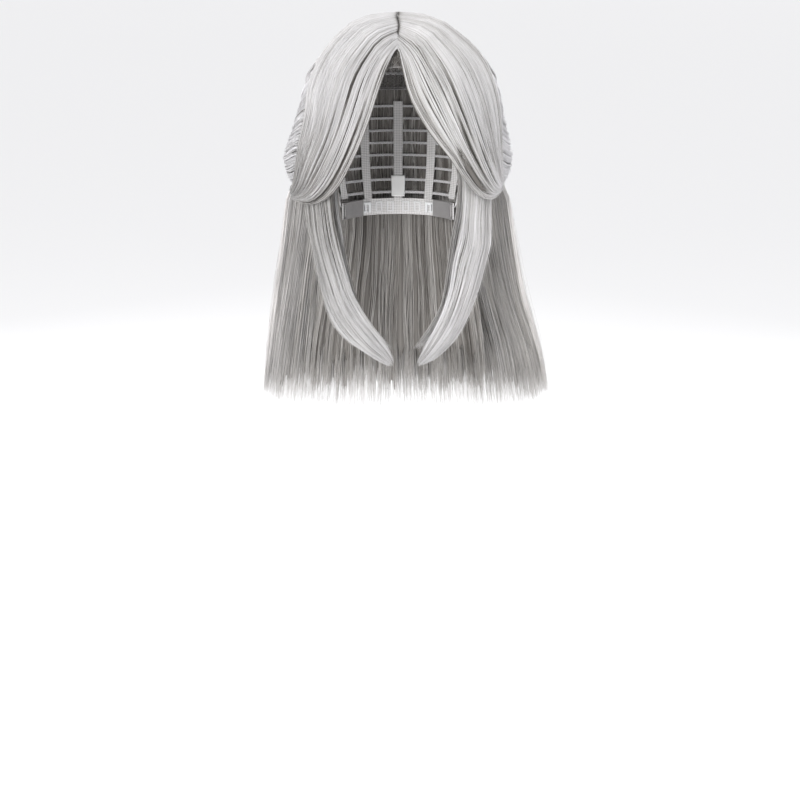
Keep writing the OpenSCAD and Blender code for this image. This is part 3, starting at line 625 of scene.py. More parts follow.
# fringe: from the parting down to the tuck at the temple, then back beside the ear
fringe_r = [
    [[-0.3, -64, 81], [-9, -84, 68], [-17, -96, 48], [-27, -100, 17], [-40, -94, -16], [-56, -80, -46], [-76, -60, -63], [-96, -32, -62], [-100, -8, -60], [-97, 16, -61], [-93, 34, -64]],
    [[-0.3, -36, 98], [-26, -56, 86], [-46, -72, 62], [-60, -79, 32], [-70, -77, 0], [-80, -66, -30], [-89, -50, -50], [-98, -30, -59], [-101, -7, -56], [-98, 16, -57], [-94, 34, -60]],
    [[-0.3, -2, 108], [-42, -2, 98], [-74, -4, 74], [-89, -8, 44], [-93, -14, 16], [-95, -20, -12], [-97, -25, -36], [-99, -25, -51], [-101, -7, -52], [-98, 16, -53], [-94, 34, -56]]]
fringe_l = [
    [[0.3, -64, 81], [8, -86, 64], [18, -97, 36], [32, -99, 9], [47, -93, -15], [62, -80, -38], [78, -64, -56], [90, -42, -59], [98, -18, -53], [98, 14, -54], [94, 34, -58]],
    [[0.3, -36, 98], [26, -56, 86], [46, -72, 62], [60, -79, 32], [72, -77, 0], [83, -66, -27], [91, -50, -44], [96, -34, -50], [100, -12, -48], [99, 14, -50], [95, 34, -55]],
    [[0.3, -2, 108], [44, -2, 98], [76, -4, 74], [92, -8, 44], [97, -14, 16], [98, -20, -10], [98, -25, -30], [98, -25, -41], [100, -10, -43], [99, 14, -46], [95, 34, -52]]]
# crown: its first row starts under the fringe, its last crosses the middle of the back
crown_r = [
    [[-0.6, -9, 104.5], [-40, -8, 94.5], [-71, -7, 72], [-86, -3, 53], [-93, 12, 42], [-92, 36, 30], [-79, 66, 13], [-50, 97, -4], [-12, 117, -11], [-3, 121, -16]],
    [[-0.4, 2, 108], [-40, 2, 99], [-72, 2, 76], [-88, 4, 57], [-94, 18, 46], [-93, 40, 33], [-80, 68, 16], [-50, 99, -1], [-12, 118, -8], [-3, 121, -15]],
    [[-0.4, 22, 108], [-34, 26, 100], [-61, 32, 82], [-76, 40, 65], [-81, 54, 50], [-75, 74, 34], [-56, 96, 17], [-30, 111, 3], [-9, 118, -5], [-2, 121, -14]],
    [[-0.4, 42, 103], [-20, 50, 98], [-40, 60, 86], [-50, 72, 70], [-51, 84, 54], [-44, 97, 38], [-31, 108, 21], [-16, 115, 8], [-5, 119, -3], [-1, 122, -14]],
    [[0.5, 56, 97], [-4, 67, 92], [-7, 80, 82], [-8, 91, 69], [-7, 100, 55], [-6, 106, 41], [-4, 111, 27], [-2, 115, 12], [-1, 119, -2], [0, 122, -14]],
    [[1.0, 58, 96], [6, 67, 92], [9, 80, 82], [9, 91, 69], [8, 100, 55], [7, 106, 41], [5, 111, 27], [3, 115, 12], [1, 119, -2], [0, 122, -14]]]
# side section: from under the fringe, back to the tie; its first row runs under the crown hair
swept_r = [
    [[-60, -20, 72], [-68, -8, 68], [-80, 6, 60], [-86, 19, 51], [-86, 38, 40], [-76, 66, 24], [-55, 92, 9], [-30, 109, -3], [-10, 117, -10], [-2, 120, -16]],
    [[-72, -28, 54], [-80, -12, 53], [-89, 4, 49], [-95, 17, 40], [-96, 36, 28], [-86, 62, 12], [-64, 88, -2], [-36, 107, -11], [-12, 119, -14], [-3, 121, -17]],
    [[-78, -36, 15], [-87, -18, 14], [-95, -1, 12], [-101, 12, 6], [-104, 30, 0], [-97, 57, -8], [-72, 89, -14], [-38, 110, -18], [-12, 121, -18], [-3, 122, -18]],
    [[-80, -42, -15], [-91, -24, -16], [-99, -9, -18], [-106, 4, -24], [-110, 22, -27], [-102, 54, -26], [-75, 89, -25], [-39, 111, -24], [-12, 121, -22], [-3, 122, -19]],
    [[-77, -44, -37], [-88, -28, -40], [-97, -14, -44], [-102, -2, -47], [-105, 20, -47], [-97, 52, -43], [-72, 86, -37], [-38, 108, -31], [-12, 119, -26], [-3, 121, -20]],
    [[-70, -38, -46], [-80, -22, -47], [-89, -10, -50], [-94, 2, -52], [-96, 22, -52], [-88, 52, -48], [-65, 82, -42], [-34, 102, -36], [-11, 114, -28], [-3, 119, -21]]]
tail_g = [
    [[-3, 120, -14], [-9, 123, -32], [-21, 124, -62], [-34, 124, -104], [-42, 124, -152], [-47, 124, -200], [-48, 124, -246], [-46, 124, -284]],
    [[-2, 122, -14], [-5, 128, -32], [-12, 132, -62], [-20, 133, -104], [-24, 133, -152], [-27, 133, -200], [-27, 131, -248], [-26, 129, -288]],
    [[0, 123, -14], [0, 130, -32], [0, 135, -62], [0, 137, -104], [0, 137, -152], [1, 136, -200], [2, 134, -248], [3, 131, -290]],
    [[2, 122, -14], [5, 128, -32], [12, 132, -62], [20, 133, -104], [25, 133, -152], [29, 133, -200], [31, 131, -248], [31, 129, -288]],
    [[3, 120, -14], [9, 123, -32], [21, 124, -62], [34, 124, -104], [43, 124, -152], [49, 124, -200], [51, 124, -246], [50, 124, -284]]]
lock_r = [
    [[-85, -30, -28], [-88, -35, -50], [-87, -40, -75], [-82, -45, -100], [-74, -51, -137], [-64, -58, -169], [-50, -65, -187], [-34, -71, -198], [-18, -77, -207], [-7, -81, -211]],
    [[-72, -50, -28], [-76, -54, -50], [-74, -62, -75], [-71, -64, -98], [-63, -67, -128], [-53, -70, -157], [-39, -74, -179], [-25, -77, -194], [-13, -80, -203], [-5, -82, -210]],
    [[-58, -60, -28], [-61, -64, -50], [-59, -66, -74], [-55, -68, -94], [-49, -70, -118], [-41, -72, -144], [-27, -74, -168], [-14, -77, -185], [-7, -79, -197], [-3, -81, -208]]]
lock_l = [
    [[84, -30, -28], [87, -35, -50], [87, -40, -75], [87, -45, -100], [83, -50, -118], [75, -56, -146], [65, -61, -170], [54, -67, -188], [36, -75, -204], [19, -81, -211]],
    [[72, -50, -28], [76, -54, -50], [74, -62, -75], [73, -64, -98], [68, -67, -118], [61, -70, -145], [52, -73, -170], [41, -77, -188], [28, -80, -203], [18, -82, -210]],
    [[58, -60, -28], [61, -64, -50], [60, -66, -74], [57, -68, -94], [52, -70, -113], [47, -72, -143], [38, -74, -168], [28, -77, -186], [21, -79, -199], [17, -81, -208]]]
inner_r = [
    [[-80, -18, -30], [-84, -18, -48], [-85, -20, -72], [-81, -26, -100], [-73, -33, -132], [-61, -41, -160], [-43, -51, -180], [-23, -62, -193], [-9, -70, -200]],
    [[-68, -38, -30], [-71, -38, -48], [-70, -42, -72], [-66, -45, -98], [-60, -47, -128], [-50, -51, -158], [-34, -58, -179], [-19, -66, -191], [-8, -72, -198]],
    [[-54, -44, -30], [-56, -46, -48], [-54, -49, -72], [-50, -53, -93], [-46, -57, -120], [-37, -60, -154], [-23, -66, -176], [-11, -71, -189], [-4, -75, -196]]]
inner_l = [[[-p[0] + 10 * max(0, (-p[2] - 120) / 80), p[1], p[2]] for p in r] for r in inner_r]

BANG = profile((0, 0.09, 0.35, 0.6, 0.7, 0.85, 1), (1.8, 4.0, 8, 7, 5, 3.5, 2), 0.35)
# roots darkens the root ends of the strands and rim the free edge of the bang: painted shade.
fringe_kw = dict(m=32, roots=0.4, root_spread=0.003, puff=(2.3, 0.13, 0.14, 3), tone_var=0.85, locks=13, wisps=84, outer=0.6, skin=0.2, tip=0.02, off=1.9, meander=0.0012, lift=0.2, lift2=0.22, rim=(0.1, 0.42), calm=(0.28, 0.52, 0.72))
UNDER = dict(width=0.5, pull1=((0, 0.0), (0.3, 0.04), (0.58, 0.2), (0.75, 0.05), (1, 0.0)), pull2=((0, 0.0), (0.25, 0.2), (0.6, 0.55), (0.75, 0.3), (1, 0.2)),
             groove=((0, 0.05), (0.25, 0.3), (0.6, 1.0), (0.8, 0.4), (1, 0.3)), groove2=((0, 0.1), (0.25, 0.4), (0.6, 0.9), (0.8, 0.6), (1, 0.3)))
TOP = dict(width=0.38, pull1=UNDER["pull1"], pull2=((0, 0), (0.35, 0.25), (0.62, 0.5), (0.75, 0.3), (1, 0.2)), groove=UNDER["groove"], groove2=UNDER["groove2"])
# cuts: place, half width, depth, start, end and painted shade in the gap.
CUTS_R = [(0.085, 0.008, 1.4, 0.18, 0.66, 0.5), (0.13, 0.004, 0.8, 0.30, 0.62, 0.4), (0.17, 0.005, 1.0, 0.1, 0.5, 0.5), (0.25, 0.0045, 1.5, -0.12, 0.46, 0.8), (0.34, 0.007, 1.4, 0.25, 0.66, 0.5),
          (0.43, 0.009, 1.8, 0.34, 0.7, 0.6), (0.52, 0.006, 1.2, 0.3, 0.68, 0.5), (0.61, 0.009, 1.8, 0.38, 0.72, 0.6), (0.7, 0.006, 1.2, 0.42, 0.72, 0.5), (0.80, 0.005, 1.0, 0.3, 0.7, 0.4), (0.9, 0.004, 1.0, 0.35, 0.7, 0.4)]
CUTS_L = [(0.13, 0.030, 3.0, 0.38, 0.66, 0.6), (0.05, 0.004, 1.0, 0.16, 0.6, 0.4), (0.20, 0.003, 0.9, -0.12, 0.15, 0.6), (0.235, 0.003, 0.8, 0.06, 0.34, 0.4), (0.27, 0.012, 2.2, 0.26, 0.64, 0.6), (0.33, 0.006, 1.4, 0.1, 0.5, 0.5), (0.40, 0.014, 2.2, 0.36, 0.68, 0.6),
          (0.48, 0.006, 1.4, 0.2, 0.6, 0.5), (0.56, 0.013, 2.2, 0.4, 0.70, 0.6), (0.64, 0.006, 1.4, 0.36, 0.7, 0.5), (0.72, 0.012, 1.8, 0.42, 0.72, 0.6), (0.81, 0.006, 1.4, 0.4, 0.72, 0.5), (0.9, 0.005, 1.2, 0.4, 0.7, 0.4)]
for side, net, sd, step, cuts in (("right", slim(fringe_r), 11, (0.25, 1.2, 0.15, 0.4), CUTS_R), ("left", fringe_l, 12, (0.20, 0.6, 0.02, 0.2), CUTS_L)):
    N_ = Net(net)
    # Per side: tone paints the right fringe lighter, and shade darkens its lower half while lightening the left's
    # middle: painted light and shade for how the light falls.
    fringe_kw["tone"] = 0.13 if side == "right" else 0.0
    fringe_kw["shade"] = ((0, 0.05), (0.3, 0.0), (0.46, 0.16), (0.64, 0.4), (0.8, 0.24), (1, 0.22)) if side == "right" else ((0, 0.05), (0.3, 0.0), (0.5, -0.06), (0.66, -0.14), (0.8, -0.06), (1, 0.1))
    cuts = cuts + [(c, 0.002, 0.4, -0.05, 0.09, 0.55) for c in (0.03, 0.07, 0.11, 0.15, 0.18)] + fine_lines(sd, 76, 0.0018, 0.45, 0.55, span=(0.06, 0.62), length=(0.18, 0.5)) + fine_lines(sd + 2, 70, 0.0016, 0.4, 0.6, span=(0.02, 0.26), length=(0.1, 0.3)) + fine_lines(sd + 1, 50, 0.0022, 0.7, 0.7, span=(0.42, 0.64), length=(0.14, 0.3))
    hair_piece(f"fringe_{side}_hair", N_, BANG, n=1230, seed=sd, body="cap", slot="hair", replaces=(f"fringe_{side}",), step=step, fly=0.0, cuts=cuts, cross=(0.24, 1.6, 0.6) if side == "right" else (0.19, -1.6, -6.0),
               base_kw=dict(vlim=(0.03, 0.8), at=(0.6, 0.74), ridge=0.2), **fringe_kw, **UNDER)
    kw = dict(fringe_kw)
    kw.update(TOP, outer=0.92, skin=0.12)
    hair_piece(f"fringe_{side}_top_strands", N_, BANG, n=1000, seed=sd + 50, body="cap", slot="hair", step=step, fly=0.05, fly_h=2.5, base=False, cuts=cuts, cross=(0.24, 1.6, 0.6) if side == "right" else (0.19, -1.6, -6.0), **kw)

CROWN = profile((0, 0.1, 0.5, 0.88, 1), (2.2, 4.5, 9, 6, 3), 0.4)
crown_kw = dict(m=28, roots=0.4, root_spread=0.003, puff=(2.3, 0.13, -1, 0.3), width=0.46, locks=14, wisps=90, tone_var=0.9, tone=0.07, pull1=((0, 0.0), (0.4, 0.08), (1, 0.2)), pull2=((0, 0.0), (0.4, 0.3), (1, 0.5)), outer=0.64, skin=0.2,
                lift=0.25, lift2=0.25, groove=((0, 0.05), (0.4, 0.35), (1, 0.7)), groove2=((0, 0.1), (0.5, 0.5), (1, 0.6)), tip=0.005, off=1.9, meander=0.0015, fly=0.014, fly_h=2.5)
swept_kw = dict(m=28, width=0.46, locks=30, wisps=70, tone_var=1.1, tone=0.28, pull1=((0, 0.0), (0.4, 0.08), (1, 0.2)), pull2=((0, 0.2), (0.5, 0.45), (1, 0.5)), outer=0.6, skin=0.2,
                lift=0.3, lift2=0.35, groove=((0, 1.0), (0.4, 1.1), (1, 0.5)), groove2=((0, 0.4), (0.5, 0.5), (1, 0.4)), tip=0.005, off=1.9, meander=0.002, ripple=0.08, fly=0.012, fly_h=2.0)
SWEPT = profile((0, 0.15, 0.5, 0.88, 1), (5, 9, 13, 6, 3), 0.4)
for side, f, sd in (("right", slim, 21), ("left", mirror, 22)):
    # The sides get different tones: painted light and shade for how the light falls on each side.
    crown_kw["tone"] = 0.08 if side == "right" else -0.02
    swept_kw["tone"] = 0.36 if side == "right" else 0.52
    crown_kw["cuts"] = fine_lines(sd, 150, 0.0011, 0.4, 0.75, span=(0.04, 0.66), length=(0.12, 0.4))
    swept_kw["cuts"] = fine_lines(sd + 5, 40, 0.004, 0.35, 0.45, span=(0.05, 0.8), length=(0.15, 0.5))
    hair_piece(f"crown_{side}_hair", Net(f(crown_r)), CROWN, n=1500, seed=sd, body="cap", slot="hair", replaces=(f"crown_hair_{side}",), draw=0.07, base_kw=dict(vlim=(0.02, 0.95), ulim=(0.0, 0.97), draw=0.07), **crown_kw)
    hair_piece(f"swept_{side}_hair", Net(f(swept_r)), SWEPT, n=1350, seed=sd + 10, body="cap", slot="hair", replaces=(f"swept_side_{side}",), base_kw=dict(vlim=(0.02, 0.95)), **swept_kw)

# back hair: hangs from the cap under the swept sides, then free
drape_rows = np.array([[103, 118, 14, 0], [111, 118, 24, 0], [123, 118, 36, 1], [138, 119, 46, 6], [148, 121, 52, 8]], float)


def drape(az, z, d=0.0):
    r = cr(drape_rows, np.clip((-20 - z) / 280, 0, 1))
    a = np.radians(az)
    return np.stack([r[..., 3] + (r[..., 0] - d) * np.sin(a), r[..., 2] - (r[..., 1] - d - r[..., 2]) * np.cos(a), z * np.ones_like(a)], -1)


def cut_z(az):
    return -300 + 34 * np.maximum(0, 1 - np.abs(np.cos(np.radians(az)))) ** 1.4


def curtain(a0, a1):
    def f(u, v):
        az = a0 + (a1 - a0) * u
        top = -30 - 12 * np.abs(np.sin(np.radians(az))) ** 2
        z = top + (cut_z(az) - top) * v
        inset = 10 * smooth((z + 72) / 38)
        return drape(az, z, inset)
    return f


def edge_profile(vs, ts, thin_at):
    """Thickness that falls away only at the free edge of the section."""
    def f(u, v):
        k = np.ones_like(u) if thin_at is None else smooth(np.abs(u - thin_at) / 0.22) * 0.75 + 0.25
        return np.interp(v, vs, ts) * k
    return f


# tone lightens the back hair, painted light for the less lit curtains.
def curtain_piece(name, a0, a1, seed, nodes, thin_at, ulim, tone=0.2):
    o = hair_piece(name, Formula(curtain(a0, a1)), edge_profile((0, 0.12, 0.6, 1), (9, 14, 12, 8), thin_at), n=1900, m=18, seed=seed, body=None, slot="hair", replaces=nodes, width=0.55,
                   locks=10, wisps=88, pull1=((0, 0), (0.5, 0.10), (0.8, 0.08), (1, 0.02)), pull2=((0, 0.1), (0.4, 0.45), (0.75, 0.5), (1, 0.15)), outer=0.45, skin=0.25, lift=0.8, lift2=0.5, cuts=fine_lines(seed, 60, 0.0016, 0.8, 0.5, span=(0.2, 0.9), length=(0.3, 0.8)),
                   groove=((0, 0.2), (0.4, 0.9), (1, 1.0)), groove2=((0, 0.2), (0.4, 0.8), (1, 0.8)), mats=[M_BACK_WARM_SHADE, M_BASE_PALE], tone=tone, tip=0.13, tip_pow=1.7, tip_wisp=0.015, fly=0.02, fly_h=4.5, fly_u=0.03, meander=0.004, relax=3.0, taper=0.2,
                   base_kw=dict(ulim=ulim, vlim=(0.0, 0.86), at=(0.38, 0.52), nu=300, nv=30, rag=0.09))
    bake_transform(o)
    return o


# The wearer's right curtain is painted lighter still (tone 0.29), painted light for its side.
curtain_piece("back_hair_left_strands", 86, 150.5, 41, ("back_hair_left",), 0.0, (0.05, 1.0))
curtain_piece("back_hair_centre_strands", 149.5, 210.5, 42, ("back_hair_centre",), None, (0.0, 1.0))
curtain_piece("back_hair_right_strands", 209.5, 274, 43, ("back_hair_right",), 1.0, (0.0, 0.95), tone=0.29)


# roots of the back hair, sewn in rows on the cap
def roots_f(u, v):
    az = 98 + 164 * u
    z = 64 - 136 * v
    a = np.radians(az)
    s = np.where(z >= 0, np.arcsin(np.clip(z / 100, 0, 0.999)) / (math.pi / 2), z / 90)
    d = 4.6 + 7.5 * smooth((-14 - z) / 46)
    e = np.radians(90 * np.maximum(s, 0))
    cz = np.where(s >= 0, np.cos(e), 1.0)
    kx = np.where(s >= 0, 1.0, 1 - 0.16 * s * s)
    ky = np.where(s >= 0, 1.0, 1 - 0.2 * s * s)
    hy = np.where(np.cos(a) > 0, 94.0, 98.0)
    return np.stack([(76 + d) * kx * cz * np.sin(a), -(hy + d) * ky * cz * np.cos(a), z + 0 * a], -1)


# hair_shade and hair_base: painted shade for this under layer.
hair_piece("upper_back_strands", Formula(roots_f), profile((0, 1), (2.4, 5), 0.9), n=1500, m=16, seed=47, body="cap", slot="hair_shade", replaces=("upper_back_hair",), mats=[M_SHADE, M_BASE], width=0.6,
           locks=14, wisps=80, outer=0.5, lift=0.3, lift2=0.2, tip=0.02, fly=0.0, off=1.9, root_spread=0.6, base_kw=dict(at=(0.3, 0.5), vlim=(0.02, 0.98), ridge=0.15, off=2.6))

# under layer at the nape
nape_rows = np.array([[72, 97, 30], [78, 99, 32], [86, 100, 38], [93, 100, 44], [97, 100, 48]], float)


def nape_f(u, v):
    az = np.radians(110 + 140 * u)
    z = -78 - 192 * v
    r = cr(nape_rows, np.clip((-88 - z) / 184, 0, 1))
    k = 2.5 * smooth((z + 104) / 26)
    return np.stack([(r[..., 0] - k) * np.sin(az), r[..., 2] - (r[..., 1] - k - r[..., 2]) * np.cos(az), z], -1)


# hair_shade and hair_base: painted shade for this under layer.
o = hair_piece("nape_strands", Formula(nape_f), profile((0, 0.04, 0.14, 1), (2, 2.5, 7, 5), 0.7), n=1600, m=18, seed=51, body=None, slot="hair_shade", replaces=("nape_hair",), mats=[M_SHADE, M_BASE],
               width=0.55, locks=12, wisps=90, pull2=((0, 0.1), (0.6, 0.5), (1, 0.2)), outer=0.4, lift=0.8, lift2=0.4, tip=0.16, tip_pow=1.5, tip_wisp=0.02, fly=0.012, relax=2.5, taper=0.2, base_kw=dict(vlim=(0.0, 0.8), rag=0.12, at=(0.3, 0.5), nu=300))
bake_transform(o)

# tail
o = hair_piece("tail_strands", Net(tail_g), profile((0, 0.1, 0.3, 0.8, 1), (5, 7, 11, 9, 7), 0.5), n=1450, m=22, seed=61, body=None, slot="hair", replaces=("half_up_tail",), width=0.5,
               locks=8, wisps=44, pull1=((0, 0.0), (0.5, 0.15), (1, 0.25)), pull2=((0, 0.2), (0.5, 0.5), (1, 0.5)), outer=0.55, skin=0.25, lift=0.9, lift2=0.4, groove=((0, 0.2), (0.5, 1.4), (1, 1.6)),
               groove2=((0, 0.3), (1, 1.0)), tip=0.16, tip_pow=1.8, tip_wisp=0.03, fly=0.015, fly_h=3.5, fly_u=0.03, meander=0.012, relax=1.2, taper=0.2, base_kw=dict(vlim=(0.02, 0.8), rag=0.12))
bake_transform(o)

# side locks
LOCK = profile((0, 0.2, 0.5, 0.8, 1), (4, 7, 6.5, 4, 2), 0.4)
INNER = profile((0, 0.2, 0.5, 1), (3, 5, 4, 1.5), 0.4)
for side, net, inet, sd in (("right", lock_r, inner_r, 71), ("left", lock_l, inner_l, 72)):
    # dim: painted shadow of the bang across the upper part of each lock, stronger on the right.
    dim = ((0, 0.5), (0.3, 0.34), (0.5, 0.1), (0.8, 0.0)) if side == "right" else ((0, 0.3), (0.2, 0.1), (0.4, 0.0))
    o = hair_piece(f"lock_{side}_strands", Net(net), LOCK, n=1150, m=26, seed=sd, body=None, slot="hair", replaces=(f"side_lock_{side}",), width=0.45,
                   locks=6, wisps=46, pull1=((0, 0.0), (0.4, 0.08), (1, 0.15)), pull2=((0, 0.2), (0.5, 0.45), (1, 0.5)), outer=0.55, skin=0.25, lift=0.4, lift2=0.3, groove=((0, 0.3), (0.5, 0.6), (1, 0.5)),
                   groove2=((0, 0.4), (1, 0.7)), cuts=fine_lines(sd, 24, 0.008, 0.4, 0.22, span=(0.1, 0.8), length=(0.2, 0.6)), tone_var=0.7, tone=0.05, shade=dim, tip=0.34, tip_pow=1.7, tip_wisp=0.04, fly=0.04, fly_h=2.5, fly_u=0.08, meander=0.008, relax=1.2, taper=0.15, base_kw=dict(vlim=(0.0, 0.62), ulim=(0.08, 0.92), at=(0.42, 0.6), nu=60))
    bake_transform(o)
    o = hair_piece(f"inner_lock_{side}_strands", Net(inet), INNER, n=560, m=22, seed=sd + 10, body=None, slot="hair", replaces=(f"inner_lock_{side}",), base=False,
                   width=0.45, locks=5, wisps=26, pull1=((0, 0.0), (1, 0.3)), pull2=((0, 0.2), (1, 0.75)), outer=0.5, lift=0.6, lift2=0.3, tip=0.3, tip_pow=1.5, tip_wisp=0.06, fly=0.04, fly_h=2.5, fly_u=0.05,
                   meander=0.02, relax=1.0, taper=0.15, tone=-0.08)
    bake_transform(o)


# ------------------------------------------------------------------ cap (millimetres)
HX, HF, HB, HZ, CT = 76.0, 94.0, 98.0, 100.0, 0.8


def on_head(az, s, d):
    a = np.radians(np.asarray(az, float))
    s = np.asarray(s, float)
    d = np.asarray(d, float)
    hy = np.where(np.cos(a) > 0, HF, HB)
    e = np.radians(90 * np.maximum(s, 0))
    up = np.stack([(HX + d) * np.cos(e) * np.sin(a), -(hy + d) * np.cos(e) * np.cos(a), (HZ + d) * np.sin(e)], -1)
    lo = np.stack([(HX + d) * (1 - 0.16 * s * s) * np.sin(a), -(hy + d) * (1 - 0.2 * s * s) * np.cos(a), 90 * s + 0 * a], -1)
    return np.where((s >= 0)[..., None], up, lo)


def s_at(z):
    z = np.asarray(z, float)
    return np.where(z >= 0, np.degrees(np.arcsin(np.clip(z / HZ, -0.999, 0.999))) / 90, z / 90)


def strip_surface(low, high):
    low, high = np.array(low, float), np.array(high, float)

    def f(u, v, d=0.0):
        a, b = cr(low, v), cr(high, v)
        p = a + (b - a) * u[..., None]
        return on_head(p[..., 0], s_at(p[..., 1]), d)
    return f


def strip_piece(name, low, high, d0, d1, mat, body, node, nl=160, nw=16, bind=0.35, stitch=True, thread=None):
    """Band of the cap: soft thickened edges and two rows of stitches."""
    f = strip_surface(low, high)
    v, u = np.meshgrid(np.linspace(0, 1, nl), np.linspace(0, 1, nw), indexing="ij")
    fat = bind * (np.exp(-((u - 0.06) / 0.05) ** 2) + np.exp(-((u - 0.94) / 0.05) ** 2))
    rib = 0.04 * np.sin(2 * math.pi * v * nl / 4)
    A = f(u, v, d1 + fat * 0.6 + rib)
    B = f(u, v, d0 - fat * 0.5)
    parts = [slab(A, B, uvbox=(0, 0, 1, 0.7))]
    mats = [mat]
    if stitch:
        mats.append(thread or M_THREAD)
        for uu in (0.13, 0.87):
            length = np.linalg.norm(np.diff(f(np.full(200, uu), np.linspace(0, 1, 200)), axis=0), axis=1).sum()
            k = max(4, int(length / 3.2))
            t0 = (np.arange(k) + 0.15) / k
            t1 = (np.arange(k) + 0.85) / k
            for d, sgn in ((d1 + 0.12, 1), (d0 - 0.12, -1)):
                vv = t0[:, None] + (t1 - t0)[:, None] * np.linspace(0, 1, 5)[None]
                dd = d - sgn * 0.25 * np.abs(np.linspace(-1, 1, 5))[None] ** 3 * np.ones_like(vv)
                P = f(np.full_like(vv, uu), vv, dd)
                Nn = unit(P - np.array([0, 0, 0]))
                parts.append(tubes(P, Nn, np.full(P.shape[:2], 0.42), sides=5, flat=0.9, mat=1, rnd=np.full(k, 0.6), uvbox=(0, 0.72, 1, 1)))
    return make(name, parts, mats, body=body, replaces=node)


hl = [[-62, 2], [-52, 26], [-40, 45], [-26, 57], [0, 62], [26, 57], [40, 45], [52, 26], [62, 2]]
bt = [[p[0] * 0.98, p[1] + 15 + (6 if abs(p[0]) > 50 else 2)] for p in hl]


def lace_parts(f, length, height, cell, w, d):
    """Diamond net of threads on a strip, with a bound edge on each long side."""
    k = int(length / cell)
    shift = height / length
    parts = []
    for i, fam in enumerate((1, -1)):
        u = np.linspace(0.02, 0.98, 8)[None]
        v0 = ((np.arange(k) + 0.5) / k * (1 - shift) + (0 if fam > 0 else shift))[:, None]
        v = v0 + fam * shift * u
        P = f(u * np.ones_like(v), v, d + 0.12 * fam)
        parts.append(tubes(P, unit(P), np.full(P.shape[:2], w), sides=4, flat=0.9, rnd=np.full(k, 0.5), uvbox=(0, 0.35 * i, 1, 0.35 * i + 0.34)))
    for i, (ua, ub) in enumerate(((0.0, 0.1), (0.88, 1.0))):
        v, u = np.meshgrid(np.linspace(0, 1, 150), np.linspace(ua, ub, 6), indexing="ij")
        round_ = 0.22 * np.sin(math.pi * (u - ua) / (ub - ua))
        parts.append(slab(f(u, v, d + 0.12 + round_), f(u, v, d - 0.12 - round_), uvbox=(0, 0.72 + 0.13 * i, 1, 0.84 + 0.13 * i)))
    return parts


band = strip_surface(hl, bt)
lace = make("front_band_lace", lace_parts(band, 230, 17, 1.9, 0.3, 0.4), [M_LACE], body="cap", replaces=("front_band",))

# short hairs at the hairline, below the parting
rng = np.random.default_rng(5)
k = 620
sgn = np.where(rng.random(k) < 0.5, -1.0, 1.0)
az0 = rng.uniform(-13, 13, k)
z0 = 88 - 16 * rng.random(k) ** 0.8 - 0.5 * np.abs(az0)
t = np.linspace(0, 1, 7)[None]
azs = az0[:, None] + sgn[:, None] * (rng.uniform(1, 9, k))[:, None] * t ** 1.2
zs = z0[:, None] - rng.uniform(5, 13, k)[:, None] * t
P = on_head(azs, s_at(zs), 2.3 + (rng.uniform(-0.1, 1.0, k))[:, None] * np.sin(math.pi * t) - 1.0 * t)
# hair_shade: the hairline hairs are painted dark, painted shade.
make("hairline_short_strands", [tubes(P, unit(P), 0.3 * (1 - 0.7 * t ** 2) * np.ones((k, 1)), sides=3, rnd=rng.random(k) ** 2 * 0.9)], [M_SHADE], body="cap")


def ear_tab(sgn):
    n = 10
    low = [[sgn * (62.6 + 22 * i / n), -44 + 26 * abs(2 * i / n - 1) ** 2.6] for i in range(n + 1)]
    high = [[sgn * (62.6 + 22 * i / n), 12 if i < n / 2 else 12 - 8 * (2 * i / n - 1)] for i in range(n + 1)]
    return low, high


sb_low = [[85.4, 0], [91, -4], [98, -8], [105, -20], [111, -38], [117, -58], [123.5, -80]]
sb_high = [[85.4, 14], [91, 12], [99, 9], [107, -4], [113.5, -22], [119, -44], [123.5, -66]]
for sgn, side in ((1, "left"), (-1, "right")):
    low, high = ear_tab(sgn)
    tab = strip_piece(f"ear_tab_{side}_cloth", low, high, 0, CT + 0.2, M_ELASTIC, "cap", (f"ear_tab_{side}",), nl=60, nw=40)
    sb = strip_piece(f"side_band_{side}_cloth", [[sgn * a, z] for a, z in sb_low], [[sgn * a, z] for a, z in sb_high], 0, CT + 0.2, M_ELASTIC, "cap", (f"side_band_{side}",), nl=140)

# crown net: crossing threads knotted into diamonds, with a bound edge
def net_edge(az):
    return 0.2 + 0.46 * np.maximum(0, (np.cos(np.radians(az)) + 0.25) / 1.25) ** 0.8


